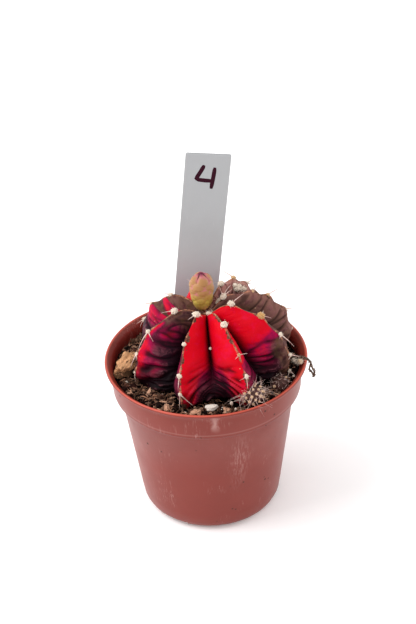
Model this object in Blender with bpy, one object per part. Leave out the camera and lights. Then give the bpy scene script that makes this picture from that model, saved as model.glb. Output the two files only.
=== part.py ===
"""A ribbed moon cactus in a small round nursery pot, with its potting mix and plant label.

Metres, +Z up. The origin is the centre of the pot's foot, on the surface that it stands on,
and -Y is the front. Each object is one physical piece of the plant or of what holds it.
"""

import math

import bmesh
import bpy
from mathutils import Matrix, Vector, noise

MM = 0.001
GAP = 0.35 * MM  # kept between pieces that rest in or on each other

# Pot: a turned shell with a flared lip, a collar and a tapering wall
POT_HEIGHT = 50.0 * MM
LIP_RADIUS = 30.0 * MM
COLLAR_TOP_RADIUS = 28.5 * MM
COLLAR_FOOT_RADIUS = 28.0 * MM
COLLAR_FOOT_HEIGHT = 40.8 * MM
SHOULDER_RADIUS = 25.9 * MM
SHOULDER_HEIGHT = 38.9 * MM
HEEL_RADIUS = 21.3 * MM
HEEL_HEIGHT = 6.0 * MM
FOOT_RADIUS = 17.6 * MM
FOOT_WIDTH = 1.1 * MM
WALL = 0.8 * MM
FLOOR_UNDERSIDE = 2.2 * MM
FLOOR_TOP = 3.1 * MM
POT_STEPS = 56
NOTCH_AZIMUTHS = (-126.0, -6.0, 114.0)
NOTCH_WIDTH = 9.0 * MM
NOTCH_HEIGHT = 1.8 * MM
DRAIN_HOLES = 5
DRAIN_RADIUS = 2.4 * MM
DRAIN_CIRCLE = 11.5 * MM

# Potting mix
MIX_LEVEL = 46.0 * MM
MIX_RELIEF = 1.0 * MM
MIX_STEPS = 48

# Cactus: eight ribs about an axis that leans a little to the left and forwards
AXIS_FOOT = Vector((2.2, 0.6, 51.3)) * MM  # on the axis, where the stem is widest
LEAN_X, LEAN_Y = -0.095, -0.039
RIB_AZIMUTHS = (-114.5, -66.5, -22.5, 17.5, 57.0, 101.0, 147.0, 198.0)
RIB_REACH = (0.985, 1.03, 1.0, 1.02, 1.01, 0.88, 0.98, 0.995)
CREST_RADIUS, CREST_RISE, CREST_DROP = 24.1 * MM, 18.4 * MM, 19.0 * MM
GROOVE_RADIUS, GROOVE_RISE = 15.0 * MM, 12.6 * MM
CROWN_DIMPLE, CROWN_WIDTH = 4.6 * MM, 4.6 * MM
TAPROOT = ((5.6, -20.5), (4.0, -23.5), (2.8, -28.0), (1.4, -32.5))
TAPROOT_TIP = -34.5 * MM
FLANK_SHARES = (0.0, 0.22, 0.5, 0.78, 0.94)
CREST_ANGLES = (84, 76, 67, 57, 47, 37, 27, 17, 8, 0, -9, -22, -42, -64)
RIB_AREOLES = (  # where each rib's areoles sit on its crest, from the crown down
    (80, 53, 25, 7),
    (67, 39, 19),
    (77, 53, 29, 6, -14),
    (82, 61, 46, 20, -4),
    (75, 57, 30, 5),
    (62, 38, 14),
    (67, 40, 16, -4),
    (74, 48, 24, 4),
)
AREOLE_RADIUS, LOW_AREOLE_RADIUS = 1.1 * MM, 0.85 * MM
LOW_AREOLE_ANGLE = 10  # below this the areoles are old and small

# Plant label: a flat plastic strip with a pointed foot
LABEL_WIDTH, LABEL_LENGTH, LABEL_THICKNESS = 13.0 * MM, 90.0 * MM, 0.5 * MM
LABEL_POINT = 11.0 * MM
LABEL_TOP = Vector((3.7, 29.2, 101.8)) * MM  # the middle of its top edge
LABEL_LEAN_BACK, LABEL_LEAN_RIGHT = 7.5, 7.2

# Loose pieces of the mix: name, (x, y, z), (half sizes), turn about Z
CHIPS = (
    ("bark_chip", (-23.5, -1.2, 47.8), (2.2, 4.3, 2.1), 14.0),
    ("wood_chip_1", (-12.0, -21.2, 46.9), (0.9, 2.1, 1.3), 12.0),
    ("wood_chip_2", (-3.4, -24.0, 46.7), (1.7, 1.3, 1.2), -20.0),
    ("wood_chip_3", (5.3, -23.1, 46.4), (1.2, 1.5, 0.9), 35.0),
)
PERLITE = (
    ("perlite_1", (0.8, -22.9, 47.4), (1.9, 1.25, 1.1), 8.0),
    ("perlite_2", (-19.2, -15.0, 46.8), (0.9, 0.7, 0.7), 0.0),
)

# Offsets: young plants budding at the foot of the stem, and the flower bud in its crown
PUPS = (
    ("offset_1", (12.9, -21.2, 50.4), 3.1),
    ("offset_2", (21.1, -12.8, 47.6), 2.6),
)
BUD_FOOT = Vector((-0.3, 2.4, 65.2)) * MM
BUD_OUTLINE = (  # radius and height up the bud, in millimetres
    (1.6, 0.0),
    (2.0, 1.7),
    (2.7, 3.6),
    (3.4, 5.9),
    (3.6, 7.7),
    (3.3, 9.7),
    (2.4, 11.3),
    (1.1, 12.2),
)
BUD_TIP = 12.5


def clear_scene():
    for obj in list(bpy.data.objects):
        bpy.data.objects.remove(obj, do_unlink=True)


def material(name, colour, roughness, metallic=0.0):
    made = bpy.data.materials.new(name)
    made.use_nodes = True
    shader = made.node_tree.nodes["Principled BSDF"]
    shader.inputs["Base Color"].default_value = (*colour, 1.0)
    shader.inputs["Roughness"].default_value = roughness
    shader.inputs["Metallic"].default_value = metallic
    return made


def add_object(name, mesh, finish, smooth_below=40.0):
    """Links a mesh as a named object, shaded smooth except at its sharp edges."""
    mesh.materials.append(finish)
    mesh.shade_smooth()
    mesh.set_sharp_from_angle(angle=math.radians(smooth_below))
    obj = bpy.data.objects.new(name, mesh)
    bpy.context.scene.collection.objects.link(obj)
    return obj


def mesh_from(name, bm):
    """Turns a bmesh into a mesh whose faces point outwards."""
    bmesh.ops.recalc_face_normals(bm, faces=bm.faces)
    mesh = bpy.data.meshes.new(name)
    bm.to_mesh(mesh)
    bm.free()
    return mesh


def turned(profile, steps):
    """Spins a closed outline of (radius, height) points about Z."""
    bm = bmesh.new()
    corners = [bm.verts.new((radius, 0.0, height)) for radius, height in profile]
    edges = [bm.edges.new((a, b)) for a, b in zip(corners, corners[1:] + corners[:1])]
    bmesh.ops.spin(
        bm,
        geom=corners + edges,
        axis=(0.0, 0.0, 1.0),
        cent=(0.0, 0.0, 0.0),
        steps=steps,
        angle=math.tau,
        use_merge=True,
    )
    bmesh.ops.remove_doubles(bm, verts=bm.verts, dist=0.001 * MM)
    return bm


def arc(centre, radius, start, end, steps):
    """Points of an arc in the (radius, height) plane, angles in degrees from +radius."""
    angles = [math.radians(start + (end - start) * i / steps) for i in range(steps + 1)]
    return [(centre[0] + radius * math.cos(a), centre[1] + radius * math.sin(a)) for a in angles]


def cutter(name, mesh, matrix):
    """A helper that is cut away from a piece and isn't part of the model."""
    obj = bpy.data.objects.new(name, mesh)
    bpy.context.scene.collection.objects.link(obj)
    obj.matrix_world = matrix
    obj.hide_render = True
    obj.display_type = "WIRE"
    return obj


def cut_away(obj, cutters):
    for tool in cutters:
        cut = obj.modifiers.new(tool.name, "BOOLEAN")
        cut.operation = "DIFFERENCE"
        cut.solver = "EXACT"
        cut.object = tool


def box_mesh(size):
    bm = bmesh.new()
    bmesh.ops.create_cube(bm, size=1.0, matrix=Matrix.Diagonal((*size, 1.0)))
    return mesh_from("box", bm)


def rod_mesh(radius, length, segments=20):
    bm = bmesh.new()
    bmesh.ops.create_cone(
        bm, cap_ends=True, segments=segments, radius1=radius, radius2=radius, depth=length
    )
    return mesh_from("rod", bm)


# ---- pot ----------------------------------------------------------------------------------


def wall_radius(height):
    """Outer radius of the pot at a height between its heel and its lip."""
    marks = (
        (HEEL_HEIGHT, HEEL_RADIUS),
        (SHOULDER_HEIGHT, SHOULDER_RADIUS),
        (COLLAR_FOOT_HEIGHT, COLLAR_FOOT_RADIUS),
        (POT_HEIGHT - 2.0 * MM, COLLAR_TOP_RADIUS),
    )
    for (low, near), (high, far) in zip(marks, marks[1:]):
        if height <= high:
            return near + (far - near) * (height - low) / (high - low)
    return COLLAR_TOP_RADIUS


def pot_profile():
    """The shell's section: up the outside, over the lip and down the inside."""
    lip_round = 0.45 * MM
    heel_round = HEEL_RADIUS - FOOT_RADIUS
    outside = [(FOOT_RADIUS, 0.0)]
    outside += [
        (FOOT_RADIUS + heel_round * math.sin(a), HEEL_HEIGHT * (1.0 - math.cos(a)))
        for a in (math.radians(18.0 * i) for i in range(1, 5))
    ]
    outside += [
        (HEEL_RADIUS, HEEL_HEIGHT),
        (SHOULDER_RADIUS, SHOULDER_HEIGHT),
        (COLLAR_FOOT_RADIUS - 0.5 * MM, COLLAR_FOOT_HEIGHT - 0.7 * MM),
        (COLLAR_FOOT_RADIUS, COLLAR_FOOT_HEIGHT),
        (COLLAR_TOP_RADIUS, POT_HEIGHT - 2.0 * MM),
        (COLLAR_TOP_RADIUS + 0.45 * MM, POT_HEIGHT - 1.4 * MM),
    ]
    lip = arc((LIP_RADIUS - lip_round, POT_HEIGHT - lip_round), lip_round, -30.0, 150.0, 4)
    inside = [
        (COLLAR_TOP_RADIUS - WALL, POT_HEIGHT - 2.0 * MM),
        (COLLAR_FOOT_RADIUS - WALL, COLLAR_FOOT_HEIGHT),
        (SHOULDER_RADIUS - WALL, SHOULDER_HEIGHT - 0.6 * MM),
        (HEEL_RADIUS - WALL, HEEL_HEIGHT + 1.0 * MM),
        (HEEL_RADIUS - 1.6 * MM, FLOOR_TOP + 0.6 * MM),
        (HEEL_RADIUS - 2.8 * MM, FLOOR_TOP),
        (3.0 * MM, FLOOR_TOP),
        (3.0 * MM, FLOOR_UNDERSIDE),
        (FOOT_RADIUS - FOOT_WIDTH - 0.6 * MM, FLOOR_UNDERSIDE),
        (FOOT_RADIUS - FOOT_WIDTH, 0.0),
    ]
    return outside + lip + inside


def make_pot():
    pot = add_object("pot", mesh_from("pot", turned(pot_profile(), POT_STEPS)), POT_PLASTIC)
    tools = []
    for index, azimuth in enumerate(NOTCH_AZIMUTHS):
        turn = Matrix.Rotation(math.radians(azimuth), 4, "Z")
        place = turn @ Matrix.Translation((HEEL_RADIUS - 2.0 * MM, 0.0, 0.0))
        size = (10.0 * MM, NOTCH_WIDTH, 2.0 * NOTCH_HEIGHT)
        tools.append(cutter(f"notch_cutter_{index + 1}", box_mesh(size), place))
    for index in range(DRAIN_HOLES):
        turn = Matrix.Rotation(math.tau * (index + 0.5) / DRAIN_HOLES, 4, "Z")
        place = turn @ Matrix.Translation((DRAIN_CIRCLE, 0.0, FLOOR_TOP))
        tools.append(cutter(f"drain_cutter_{index + 1}", rod_mesh(DRAIN_RADIUS, 6.0 * MM), place))
    cut_away(pot, tools)


# ---- cactus -------------------------------------------------------------------------------


def power(value, exponent):
    return max(value, 0.0) ** exponent


def crest_point(degrees):
    """(radius, height) of a rib's crest, 90 degrees at the crown and below 0 underground."""
    angle = math.radians(degrees)
    if degrees >= 0.0:
        radius = CREST_RADIUS * power(math.cos(angle), 0.73)
        height = CREST_RISE * math.sin(angle)
    else:
        radius = CREST_RADIUS * power(math.cos(angle), 1.3)
        height = -CREST_DROP * power(-math.sin(angle), 1.1)
    return radius, height - CROWN_DIMPLE * math.exp(-((radius / CROWN_WIDTH) ** 2))


def groove_point(degrees):
    """(radius, height) of the bottom of the groove between two ribs."""
    angle = math.radians(degrees)
    if degrees >= 0.0:
        radius = GROOVE_RADIUS * power(math.cos(angle), 1.6)
        return radius, GROOVE_RISE * power(math.sin(angle), 1.1)
    radius = GROOVE_RADIUS * power(math.cos(angle), 0.9)
    return radius, -CREST_DROP * power(-math.sin(angle), 1.1)


def leaned(radius, azimuth, height):
    """A point of the plant, from its own upright frame to its leaning place in the pot."""
    x, y = radius * math.cos(azimuth), radius * math.sin(azimuth)
    lean = Vector((LEAN_X * height, LEAN_Y * height, -LEAN_X * x - LEAN_Y * y))
    return AXIS_FOOT + Vector((x, y, height)) + lean


def rib_columns():
    """(azimuth, reach, share) round the stem: share is 0 on a crest and 1 in a groove."""
    columns = []
    count = len(RIB_AZIMUTHS)
    for index, azimuth in enumerate(RIB_AZIMUTHS):
        following = RIB_AZIMUTHS[(index + 1) % count] + (360.0 if index == count - 1 else 0.0)
        half = (following - azimuth) / 2.0
        near, far = RIB_REACH[index], RIB_REACH[(index + 1) % count]
        columns += [(azimuth + half * share, near, share) for share in FLANK_SHARES]
        columns.append((azimuth + half, (near + far) / 2.0, 1.0))
        columns += [(following - half * s, far, s) for s in reversed(FLANK_SHARES[1:])]
    return columns


def flank(share):
    """How far a flank stands out from the groove: full at the crest, puffed in between."""
    return power(1.0 - share**1.15, 0.55)


def stem_mesh(name, grow):
    """The stem and its taproot as one closed skin, grown outwards by a clearance."""
    bm = bmesh.new()
    columns = rib_columns()
    rows = []
    for degrees in CREST_ANGLES:
        crest, groove = crest_point(degrees), groove_point(degrees)
        fade = min(1.0, max(0.0, (degrees + 80.0) / 30.0))
        row = []
        for azimuth, reach, share in columns:
            out = flank(share)
            stretch = 1.0 + (reach - 1.0) * fade
            radius = groove[0] + (crest[0] * stretch - groove[0]) * out
            height = groove[1] + (crest[1] - groove[1]) * out
            rise = grow * math.sin(math.radians(degrees))
            row.append(bm.verts.new(leaned(radius + grow, math.radians(azimuth), height + rise)))
        rows.append(row)
    for radius, height in TAPROOT:
        row = [
            bm.verts.new(leaned(radius * MM + grow, math.radians(azimuth), height * MM - grow))
            for azimuth, _, _ in columns
        ]
        rows.append(row)
    crown = bm.verts.new(leaned(0.0, 0.0, GROOVE_RISE + grow))
    tip = bm.verts.new(leaned(0.0, 0.0, TAPROOT_TIP - grow))
    count = len(columns)
    for upper, lower in zip(rows, rows[1:]):
        for i in range(count):
            j = (i + 1) % count
            bm.faces.new((upper[i], lower[i], lower[j], upper[j]))
    for i in range(count):
        j = (i + 1) % count
        bm.faces.new((crown, rows[0][i], rows[0][j]))
        bm.faces.new((tip, rows[-1][j], rows[-1][i]))
    return mesh_from(name, bm)


def make_stem():
    """The stem, with sockets where the bud and the offsets grow out of it."""
    stem = add_object("cactus_stem", stem_mesh("cactus_stem", 0.0), CACTUS_SKIN, 50.0)
    here = Matrix.Identity(4)
    tools = [cutter("bud_socket_cutter", bud_mesh("bud_socket_cutter", GAP), here)]
    for name, place, radius in PUPS:
        tools.append(cutter(f"{name}_socket_cutter", pup_mesh(name, place, radius, GAP), here))
    cut_away(stem, tools)


def crest_frame(index, degrees):
    """(place, outward direction) on a rib's crest."""
    azimuth = math.radians(RIB_AZIMUTHS[index])
    reach = RIB_REACH[index]

    def at(angle):
        radius, height = crest_point(angle)
        return leaned(radius * reach, azimuth, height)

    along = at(degrees - 2.0) - at(degrees + 2.0)
    across = Vector((-math.sin(azimuth), math.cos(azimuth), 0.0))
    return at(degrees), along.cross(across).normalized()


def make_areoles():
    """The woolly cushions that carry the spines, in a line down each rib's crest."""
    for rib, angles in enumerate(RIB_AREOLES):
        for place, degrees in enumerate(angles):
            spot, outward = crest_frame(rib, degrees)
            size = AREOLE_RADIUS if degrees > LOW_AREOLE_ANGLE else LOW_AREOLE_RADIUS
            bm = bmesh.new()
            bmesh.ops.create_uvsphere(bm, u_segments=8, v_segments=4, radius=size)
            bmesh.ops.scale(bm, vec=(1.0, 1.0, 0.8), verts=bm.verts)
            turn = Vector((0.0, 0.0, 1.0)).rotation_difference(outward).to_matrix().to_4x4()
            away = outward * (size * 0.8 + GAP)
            bmesh.ops.transform(
                bm, matrix=Matrix.Translation(spot + away) @ turn, verts=bm.verts
            )
            add_object(f"areole_{rib + 1}_{place + 1}", mesh_from("areole", bm), AREOLE_WOOL)


def bud_mesh(name, grow):
    """A scaly flower bud on a short tube, grown outwards by a clearance."""
    bm = bmesh.new()
    steps = 20
    clear = grow / MM
    rows = []
    for radius, height in BUD_OUTLINE:
        scallop = 0.06 if 1.0 < height < 12.0 else 0.0
        row = []
        for i in range(steps):
            turn = math.tau * i / steps
            reach = radius * (1.0 + scallop * math.cos(5.0 * turn + height)) + clear
            level = height - (clear if height == 0.0 else 0.0)
            row.append(bm.verts.new((reach * math.cos(turn), reach * math.sin(turn), level)))
        rows.append(row)
    for lower, upper in zip(rows, rows[1:]):
        for i in range(steps):
            j = (i + 1) % steps
            bm.faces.new((lower[i], lower[j], upper[j], upper[i]))
    bm.faces.new(list(reversed(rows[0])))
    top = bm.verts.new((0.0, 0.0, BUD_TIP + clear))
    for i in range(steps):
        bm.faces.new((rows[-1][i], rows[-1][(i + 1) % steps], top))
    place = Matrix.Translation(BUD_FOOT) @ Matrix.Scale(MM, 4)
    bmesh.ops.transform(bm, matrix=place, verts=bm.verts)
    return mesh_from(name, bm)


def make_bud():
    add_object("flower_bud", bud_mesh("flower_bud", 0.0), BUD_SKIN)


def pup_mesh(name, place, radius, grow):
    """A knobbly young plant, grown outwards by a clearance."""
    bm = bmesh.new()
    bmesh.ops.create_icosphere(bm, subdivisions=3, radius=1.0)
    for vert in bm.verts:
        way = vert.co.normalized()
        knob = math.sin(9.0 * way.x + 2.0) * math.sin(9.0 * way.y) * math.sin(9.0 * way.z + 1.0)
        vert.co = way * (radius * MM * (1.0 + 0.05 * knob) + grow)
    bmesh.ops.translate(bm, vec=Vector(place) * MM, verts=bm.verts)
    return mesh_from(name, bm)


def make_pups():
    """Offsets: small plants at the foot of the stem, half buried in the mix."""
    for name, place, radius in PUPS:
        add_object(name, pup_mesh(name, place, radius, 0.0), OFFSET_SKIN)


def make_withered_flower():
    """A spent flower, shrivelled against the rim, with its tube lying across the lip."""
    points = (
        (25.0, -4.4, 50.0),
        (26.3, -4.6, 51.2),
        (27.9, -5.0, 51.7),
        (29.4, -5.5, 51.4),
        (30.3, -5.9, 50.2),
        (30.5, -6.2, 48.3),
    )
    data = bpy.data.curves.new("withered_flower", "CURVE")
    data.dimensions = "3D"
    data.bevel_depth = 0.5 * MM
    data.bevel_resolution = 2
    data.use_fill_caps = True
    spline = data.splines.new("POLY")
    spline.points.add(len(points) - 1)
    widths = (3.0, 2.6, 1.3, 0.9, 0.9, 0.7)
    for target, point, width in zip(spline.points, points, widths):
        target.co = (*(Vector(point) * MM), 1.0)
        target.radius = width
    data.materials.append(DRY_FLOWER)
    obj = bpy.data.objects.new("withered_flower", data)
    bpy.context.scene.collection.objects.link(obj)


# ---- label, mix and loose pieces ----------------------------------------------------------


def label_matrix():
    """From the label's own frame, with its top edge at z = 0, to its place in the pot."""
    back = Matrix.Rotation(math.radians(-LABEL_LEAN_BACK), 4, "X")
    right = Matrix.Rotation(math.radians(LABEL_LEAN_RIGHT), 4, "Y")
    return Matrix.Translation(LABEL_TOP) @ back @ right


def label_mesh(name, grow):
    half, corner = LABEL_WIDTH / 2.0 + grow, 0.7 * MM
    low = -LABEL_LENGTH - grow
    outline = [(0.8 * MM, low), (half, low + LABEL_POINT), (half, grow - corner), (half - corner, grow)]
    outline += [(-x, z) for x, z in reversed(outline)]
    depth = LABEL_THICKNESS / 2.0 + grow
    bm = bmesh.new()
    front = bm.faces.new([bm.verts.new((x, -depth, z)) for x, z in outline])
    grown = bmesh.ops.extrude_face_region(bm, geom=[front])
    moved = [item for item in grown["geom"] if isinstance(item, bmesh.types.BMVert)]
    bmesh.ops.translate(bm, vec=(0.0, 2.0 * depth, 0.0), verts=moved)
    mesh = mesh_from(name, bm)
    mesh.transform(label_matrix())
    return mesh


def make_label():
    add_object("plant_label", label_mesh("plant_label", 0.0), LABEL_PLASTIC)


def lump(name, place, half, turn, grow, rough):
    """An angular crumb: an icosphere pushed about by noise, then set to its size."""
    bm = bmesh.new()
    bmesh.ops.create_icosphere(bm, subdivisions=2, radius=1.0)
    seed = Vector(place) * 0.37
    for vert in bm.verts:
        way = vert.co.normalized()
        reach = 1.0 + rough * noise.noise(way * 1.7 + seed)
        vert.co = Vector([way[k] * reach * (half[k] * MM + grow) for k in range(3)])
    spin = Matrix.Rotation(math.radians(turn), 4, "Z")
    bmesh.ops.transform(bm, matrix=Matrix.Translation(Vector(place) * MM) @ spin, verts=bm.verts)
    return mesh_from(name, bm)


def make_crumbs():
    for name, place, half, turn in CHIPS:
        add_object(name, lump(name, place, half, turn, 0.0, 0.5), WOOD_CHIP, 30.0)
    for name, place, half, turn in PERLITE:
        add_object(name, lump(name, place, half, turn, 0.0, 0.4), PERLITE_STONE, 30.0)


def mix_profile():
    """The fill's section: up beside the pot's wall and in across the top to the middle."""
    side = [
        (HEEL_RADIUS - 3.2 * MM, FLOOR_TOP + GAP),
        (HEEL_RADIUS - 2.0 * MM - GAP, FLOOR_TOP + 0.9 * MM + GAP),
        (HEEL_RADIUS - WALL - GAP, HEEL_HEIGHT + 1.4 * MM),
        (SHOULDER_RADIUS - WALL - GAP, SHOULDER_HEIGHT - 0.6 * MM - GAP),
        (COLLAR_FOOT_RADIUS - WALL - 1.4 * GAP, COLLAR_FOOT_HEIGHT),
        (wall_radius(MIX_LEVEL) - WALL - GAP, MIX_LEVEL - 0.8 * MM),
    ]
    edge = wall_radius(MIX_LEVEL) - WALL - GAP - 0.3 * MM
    top = [(edge * share, MIX_LEVEL) for share in (1.0, 0.93, 0.84, 0.7, 0.5)]
    return side + top


def make_mix():
    """Potting mix: fills the pot to below its rim, and is hollowed where the plant, the label
    and the larger crumbs sit in it."""
    profile = mix_profile()
    bm = bmesh.new()
    rows = []
    for radius, height in profile:
        row = []
        for i in range(MIX_STEPS):
            turn = math.tau * i / MIX_STEPS
            spot = Vector((radius * math.cos(turn), radius * math.sin(turn), height))
            if height >= MIX_LEVEL:
                spot.z += MIX_RELIEF * noise.noise(spot / (4.0 * MM))
            row.append(bm.verts.new(spot))
        rows.append(row)
    for lower, upper in zip(rows, rows[1:]):
        for i in range(MIX_STEPS):
            j = (i + 1) % MIX_STEPS
            bm.faces.new((lower[i], lower[j], upper[j], upper[i]))
    bm.faces.new(list(reversed(rows[0])))
    bm.faces.new(rows[-1])
    mix = add_object("potting_mix", mesh_from("potting_mix", bm), POTTING_MIX, 60.0)
    here = Matrix.Identity(4)
    tools = [
        cutter("stem_cutter", stem_mesh("stem_cutter", GAP), here),
        cutter("label_cutter", label_mesh("label_cutter", GAP), here),
    ]
    for name, place, half, turn in CHIPS + PERLITE:
        rough = 0.5 if "chip" in name else 0.4
        tools.append(cutter(f"{name}_cutter", lump(name, place, half, turn, GAP, rough), here))
    for name, place, radius in PUPS:
        tools.append(cutter(f"{name}_cutter", pup_mesh(name, place, radius, GAP), here))
    cut_away(mix, tools)


clear_scene()
POT_PLASTIC = material("pot_plastic", (0.45, 0.12, 0.075), 0.42)
POTTING_MIX = material("potting_mix", (0.05, 0.03, 0.02), 0.95)
CACTUS_SKIN = material("cactus_skin", (0.5, 0.01, 0.03), 0.5)
AREOLE_WOOL = material("areole_wool", (0.75, 0.68, 0.58), 0.95)
BUD_SKIN = material("bud_skin", (0.5, 0.4, 0.14), 0.5)
OFFSET_SKIN = material("offset_skin", (0.16, 0.08, 0.06), 0.7)
DRY_FLOWER = material("dry_flower", (0.2, 0.13, 0.09), 0.9)
LABEL_PLASTIC = material("label_plastic", (0.6, 0.61, 0.63), 0.5)
WOOD_CHIP = material("wood_chip", (0.35, 0.19, 0.09), 0.9)
PERLITE_STONE = material("perlite", (0.7, 0.66, 0.6), 0.9)

make_pot()
make_mix()
make_stem()
make_areoles()
make_bud()
make_pups()
make_withered_flower()
make_label()
make_crumbs()
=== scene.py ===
"""The looks of a ribbed moon cactus in a small round nursery pot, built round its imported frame.

Metres, +Z up. The pot's foot is centred on the origin and -Y is the front. Each operator models
one piece, or one group of like pieces, and gives it its finish.
"""

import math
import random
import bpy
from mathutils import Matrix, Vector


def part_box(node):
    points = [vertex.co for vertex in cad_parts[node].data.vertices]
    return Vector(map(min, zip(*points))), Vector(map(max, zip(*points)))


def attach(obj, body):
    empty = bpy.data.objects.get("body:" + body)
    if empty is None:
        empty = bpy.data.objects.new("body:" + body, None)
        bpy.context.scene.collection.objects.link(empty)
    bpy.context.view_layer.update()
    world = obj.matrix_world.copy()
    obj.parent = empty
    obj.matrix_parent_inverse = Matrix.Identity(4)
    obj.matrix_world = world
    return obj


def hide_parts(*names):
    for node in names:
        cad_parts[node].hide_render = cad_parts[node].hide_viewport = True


bl_info = {
    "name": "Potted Moon Cactus",
    "version": (1, 0, 0),
    "blender": (4, 5, 0),
    "location": "3D View > Sidebar > Moon Cactus",
    "description": "Models a ribbed moon cactus with its nursery pot, potting mix and label",
    "category": "Add Mesh",
}

import bpy
import numpy as np
from bpy.props import FloatProperty, FloatVectorProperty, IntProperty, PointerProperty
from mathutils import Matrix, Vector, noise

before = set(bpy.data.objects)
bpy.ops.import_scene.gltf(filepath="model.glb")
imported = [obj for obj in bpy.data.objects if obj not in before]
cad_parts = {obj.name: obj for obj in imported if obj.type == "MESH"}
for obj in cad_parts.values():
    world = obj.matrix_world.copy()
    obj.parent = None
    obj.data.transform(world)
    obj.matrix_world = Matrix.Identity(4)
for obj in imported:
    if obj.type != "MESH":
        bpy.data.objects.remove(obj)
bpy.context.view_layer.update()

MM = 0.001
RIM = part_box("pot")[1].z
MIX_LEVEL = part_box("potting_mix")[1].z - 0.7 * MM

# The stem: eight ribs about an axis that leans a little to the left and forwards.
AXIS_FOOT = Vector((2.2, 0.6, 51.3)) * MM  # on the axis, where the stem is widest
LEAN_X, LEAN_Y = -0.095, -0.039
CREST_RADIUS, CREST_RISE, CREST_DROP = 24.1 * MM, 18.4 * MM, 19.0 * MM
GROOVE_RADIUS, GROOVE_RISE = 15.0 * MM, 12.6 * MM
CROWN_DIMPLE, CROWN_WIDTH = 4.6 * MM, 4.6 * MM
RIBS = (  # azimuth, reach, and the angles of its areoles from the crown down
    (-114.5, 0.985, (80, 53, 25, 7)),
    (-66.5, 1.03, (67, 39, 19)),
    (-22.5, 1.0, (77, 53, 29, 6, -14)),
    (17.5, 1.02, (82, 61, 46, 20, -4)),
    (57.0, 1.01, (75, 57, 30, 5)),
    (101.0, 0.88, (62, 38, 14)),
    (147.0, 0.98, (67, 40, 16, -4)),
    (198.0, 0.995, (74, 48, 24, 4)),
)
GROOVES = (-91.0, -50.0, 0.0, 37.0, 79.0, 124.0, 172.5, 231.0)  # azimuths, after each rib
# The azimuths of crests and grooves in turn, once round
STOPS = [azimuth for rib, groove in zip(RIBS, GROOVES) for azimuth in (rib[0], groove)]
STOPS.append(STOPS[0] + 360.0)
COLUMNS_PER_RIB, STEM_RINGS = 48, 226
BURIED_ANGLE = -26.0

# Each rib's two flanks, clockwise and anticlockwise seen from above: how red it is towards the
# crown and towards the foot, the angle where that changes, how brown it is, how steeply it falls
# from the crest (small is puffed out), and how deep its folds are above and below.
FLANKS = (
    ((0.42, 0.34, 20.0, 0.25, 0.95, 0.25, 0.60), (1.00, 0.86, 10.0, 0.00, 0.58, 0.08, 0.80)),
    ((1.00, 0.90, 10.0, 0.00, 0.58, 0.10, 0.95), (0.85, 0.45, 30.0, 0.10, 0.95, 0.15, 0.60)),
    ((0.97, 0.26, 34.0, 0.00, 0.58, 0.20, 1.25), (0.12, 0.08, 20.0, 0.90, 0.62, 0.60, 0.90)),
    ((0.10, 0.05, 20.0, 0.92, 0.60, 0.95, 1.20), (0.20, 0.10, 20.0, 0.80, 0.60, 0.60, 0.90)),
    ((0.42, 0.22, 40.0, 0.62, 0.60, 1.00, 1.20), (0.35, 0.20, 30.0, 0.60, 0.60, 0.60, 0.90)),
    ((0.55, 0.30, 30.0, 0.35, 0.60, 0.40, 0.80), (0.86, 0.50, 40.0, 0.10, 0.60, 0.40, 0.80)),
    ((0.20, 0.12, 30.0, 0.85, 0.60, 0.50, 0.90), (0.62, 0.30, 25.0, 0.35, 0.60, 0.45, 0.80)),
    ((0.25, 0.15, 30.0, 0.50, 0.60, 0.50, 0.90), (0.30, 0.14, 40.0, 0.35, 0.58, 0.60, 1.40)),
)


def linear_colour(red, green, blue):
    """A colour given as it looks on a screen, 0 to 255, made linear."""
    return tuple(
        c / 12.92 if c <= 0.04045 else ((c + 0.055) / 1.055) ** 2.4
        for c in (red / 255.0, green / 255.0, blue / 255.0)
    )


# ---- settings ----


def colour(name, description, *screen):
    """A colour a user can change, given as it looks on a screen."""
    return FloatVectorProperty(
        name=name,
        description=description,
        subtype="COLOR",
        size=3,
        min=0.0,
        max=1.0,
        default=linear_colour(*screen),
    )


def length(name, description, millimetres):
    """A length a user can change."""
    return FloatProperty(name=name, description=description, default=millimetres * MM, unit="LENGTH")


def number(name, description, default, least, most):
    """A count a user can change."""
    return IntProperty(name=name, description=description, default=default, min=least, max=most)


class PotSettings(bpy.types.PropertyGroup):
    plastic: colour("Plastic", "The pot's terracotta-coloured plastic", 128, 44, 32)
    lip: colour("Lip", "The lip, where the plastic is thin and lets light through", 188, 78, 60)
    inside: colour("Inside", "The inner wall above the mix", 134, 42, 34)
    scuff: colour("Scuff", "Chalky scuffs and lime marks", 216, 176, 168)


class StemSettings(bpy.types.PropertyGroup):
    red: colour("Red", "The brightest skin", 200, 0, 28)
    magenta: colour("Magenta", "Skin between red and dark", 146, 8, 62)
    dark: colour("Dark", "The darkest skin, purple nearly black", 40, 14, 28)
    brown: colour("Brown", "Olive-brown skin of the back ribs", 104, 70, 62)
    cork: colour("Cork", "Corky skin beside the crests", 98, 74, 60)
    crest: colour("Crest", "The tan line along each crest", 188, 126, 98)
    crease: length("Crease", "How deep the skin's creases are", 1.15)


class SpineSettings(bpy.types.PropertyGroup):
    wool: colour("Wool", "The areoles' felt", 228, 212, 194)
    old_wool: colour("Old wool", "Weathered felt", 200, 152, 92)
    spine: colour("Spine", "The spines", 226, 200, 190)
    thickness: length("Thickness", "A spine's radius at its foot", 0.205)


class BudSettings(bpy.types.PropertyGroup):
    foot: colour("Foot", "The bud's narrow foot", 156, 134, 54)
    scale: colour("Scale", "The bud's scales", 164, 117, 70)
    tip: colour("Tip", "The tips of the uppermost scales", 182, 106, 108)
    rows: number("Rows", "Rows of scales", 6, 1, 9)


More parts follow.
